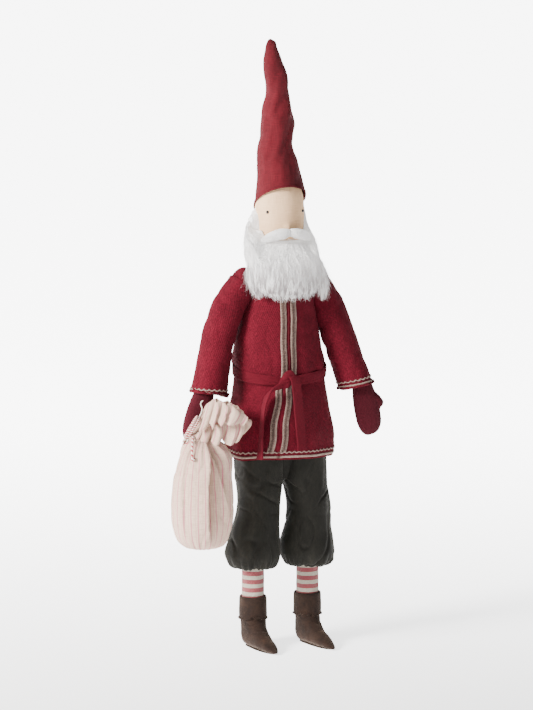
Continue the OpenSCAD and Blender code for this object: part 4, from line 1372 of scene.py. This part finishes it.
def make_bag():
    table = smooth_rows([(z, BAG[0] + dx, BAG[1] + dy, a, b, 0) for z, a, b, dx, dy in BAG_SHAPE],
                        60)
    bag = capped("sack", rounded(table, 72, 2.1), SACK_COTTON)
    swollen(bag, 4.0, 4.0)
    modified(bag, ("SMOOTH", {"factor": 0.5, "iterations": 2}), SUBDIVIDED)
    points = coordinates(bag)
    around = np.arctan2(points[:, 1] - BAG[1], points[:, 0] - BAG[0])
    height = (points[:, 2] - SACK_BOTTOM) / (SACK_NECK[2] - SACK_BOTTOM)
    gather = smoothstep(points[:, 2], 262, 306)
    foot = smoothstep(points[:, 2], SACK_BOTTOM + 34, SACK_BOTTOM + 4)
    amount = gather * 1.6 * np.sin(15 * around + 2 * np.sin(3 * around))
    amount += foot * 2.6 * (np.abs(np.sin(8 * around + np.sin(3 * around))) - 0.6)
    for angle, lean, bend, depth, wide in BAG_FOLDS:
        fold = np.degrees(around) - angle - lean * (height - 0.5) * 2
        fold -= bend * ((height - 0.45) / 0.5) ** 2
        step = np.where(fold < 0, 0.35 * np.exp(fold / 16), -np.exp(-fold / wide))
        ends_off = smoothstep(height, 0.03, 0.4) * smoothstep(height, 1.02, 0.88)
        amount += depth * step * smoothstep(np.abs(fold), -1.5, 2.5) * ends_off
    amount += 1.1 * field(points * (1, 1, 0.6), 26, 141, 2)
    amount += 0.9 * creases(points * (1, 1, 0.55), 30, 143)
    set_coordinates(bag, points + vertex_normals(bag) * (1, 1, 0.3) * amount[:, None])
    wrap_uv(bag, BAG, BAG_R)
    place(bag, "sack", "sack_cloth", "sack_bag", "sack_filling")


def make_fan(name, base, ridge, rim, pleats, depth, seed):
    """A gathered layer of the sack's mouth, from the tie over a ridge to its rim; the points are
    (across, up, out) from the neck."""
    cols, rows = 180, 46
    base, ridge, rim = (smooth_rows(p, cols) for p in (base, ridge, rim))
    t = np.linspace(0, 1, rows)[:, None, None]
    mid = 2 * ridge - (base + rim) / 2
    path = (1 - t) ** 2 * base + 2 * t * (1 - t) * mid + t * t * rim
    s = np.linspace(0, 1, cols)[None, :]
    t = t[..., 0]
    phase = 2 * np.pi * pleats * (s + 0.045 * np.sin(8 * s + seed) + 0.02 * np.sin(21 * s))
    crisp = np.arcsin(0.995 * np.sin(phase)) * 0.66 + 0.1 * np.sin(2 * phase + 1)
    wave = crisp * (1 + 0.45 * np.sin(6 * s + 2 * seed))
    path = path + np.stack([0.5 * np.cos(phase) * t, -0.9 * wave * t, wave * t ** 0.8], 2) * depth
    grid = SACK_NECK + path @ FAN_AXES
    grid = push(grid, 0.5 * field(grid, 9, seed), closed=False)
    fan = grid_object(name, grid, SACK_COTTON, closed=False)
    layer = fan.data.uv_layers["cloth"]
    uv = np.array([d.uv for d in layer.data])
    uv[:, 0] *= 0.75
    layer.data.foreach_set("uv", uv.ravel())
    return thick(fan, 0.9)


def make_ruffle():
    upper = make_fan("ruffle_upper",
                     [(2, 20, 2), (0, 14, 5), (-2, 9, 6), (-4, 6, 6), (-5, 3, 6)],
                     [(13, 42, 2), (24, 46, 6), (38, 43, 9), (50, 37, 9), (60, 26, 8)],
                     [(2, 8, 18), (14, 12, 22), (27, 16, 23), (38, 16, 22), (50, 17, 20),
                      (62, 14, 13)], 4.2, 3.6, 3)
    lower = make_fan("ruffle_lower",
                     [(-2, 12, 4), (-4, 8, 6), (-6, 4, 7), (-6, 2, 7), (-7, 0, 6)],
                     [(66, 20, 2), (54, 20, 6), (36, 18, 9), (18, 12, 11), (2, 4, 12)],
                     [(67, 6, 2), (56, -8, 8), (43, -12, 13), (28, -9, 16), (12, -11, 17),
                      (-8, -8, 14)], 5.4, 4.2, 5)
    back = make_fan("ruffle_back",
                    [(4, 18, -4), (6, 12, -5), (6, 8, -5), (5, 4, -4)],
                    [(16, 38, -8), (34, 38, -9), (50, 30, -8), (56, 16, -5)],
                    [(24, 46, -4), (42, 42, -8), (58, 32, -7), (68, 16, -4)], 5.0, 2.0, 7)
    ruffle = joined("sack_ruffle", [upper, lower, back])
    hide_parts("sack_ruffle")
    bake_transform(ruffle)


def rope(name, route, radius, turns, materials):
    """Yarns laid round each other along a route."""
    _, side, up = directions(route, (0.3, 0.4, 0.86))
    phase = np.linspace(0, 2 * np.pi * turns, len(route))[:, None]
    yarns = []
    for k, material in enumerate(materials):
        a = phase + 2 * np.pi * k / len(materials)
        path = route + radius * 0.5 * (side * np.cos(a) + up * np.sin(a))
        yarns.append(tube(f"{name}_{k}", path, radius * 0.58, material, 8))
    return joined(name, yarns)


def make_tie():
    turns = []
    for k, shift in enumerate((-2.0, 1.6)):
        a = np.linspace(0, 2 * np.pi, 150)
        local = (np.array([-6.5, 9.5, 3.0]) + np.array([0.857, -0.514, 0.0]) * shift
                 + np.outer(np.cos(a), np.array([8.5, 14.2, 0.0]))
                 + np.outer(np.sin(a), np.array([0.0, 0.0, 12.5])))
        route = SACK_NECK + local @ FAN_AXES
        turns.append(rope(f"turn_{k}", route, 1.7, 13, [RED_YARN, WHITE_YARN, RED_YARN, WHITE_YARN]))
    loop = SACK_NECK + np.array([(-13, -3, 14), (-16, -5, 16), (-18.5, -8, 16.5), (-17, -12, 16),
                                 (-13.5, -10, 16), (-12.5, -5, 15)]) @ FAN_AXES
    turns.append(rope("loop", smooth_rows(loop, 40), 1.4, 4, [RED_YARN, WHITE_YARN, WHITE_YARN]))
    place(joined("sack_tie", turns), "sack", "cord", "sack_tie")
    thread = np.array([(3, 24, 4), (6, 30, 3), (7, 36, 0), (5, 42, -2), (8, 46, -4)])
    thread = SACK_NECK + thread @ FAN_AXES
    place(tube("tie_end", smooth_rows(thread, 30), 0.9, WHITE_YARN, 8), "arm_right", "cord")


# ---- Hidden CAD pieces --------------------------------------------------------------------------

def dress_inner_pieces():
    for name, node in frame["nodes"].items():
        if node.hide_render:
            continue
        stuffing = "filling" in name or name == "waist_elastic"
        node.data.materials.clear()
        node.data.materials.append(WADDING if stuffing else CALICO)


make_head()
make_eyes()
make_beard()
make_locks()
make_moustache()
make_mouth_shade()
make_hat()
make_coat_body()
make_skirt()
make_belt_band()
make_belt_knot()
make_belt_tails()
make_seat()
for each in SIDES:
    make_sleeve(each)
    make_mitten(each)
    make_breeches_leg(each)
    make_stocking(each)
    make_boot(each)
    make_sole(each)
    make_boot_cuff(each)
make_bag()
make_ruffle()
make_tie()
dress_inner_pieces()
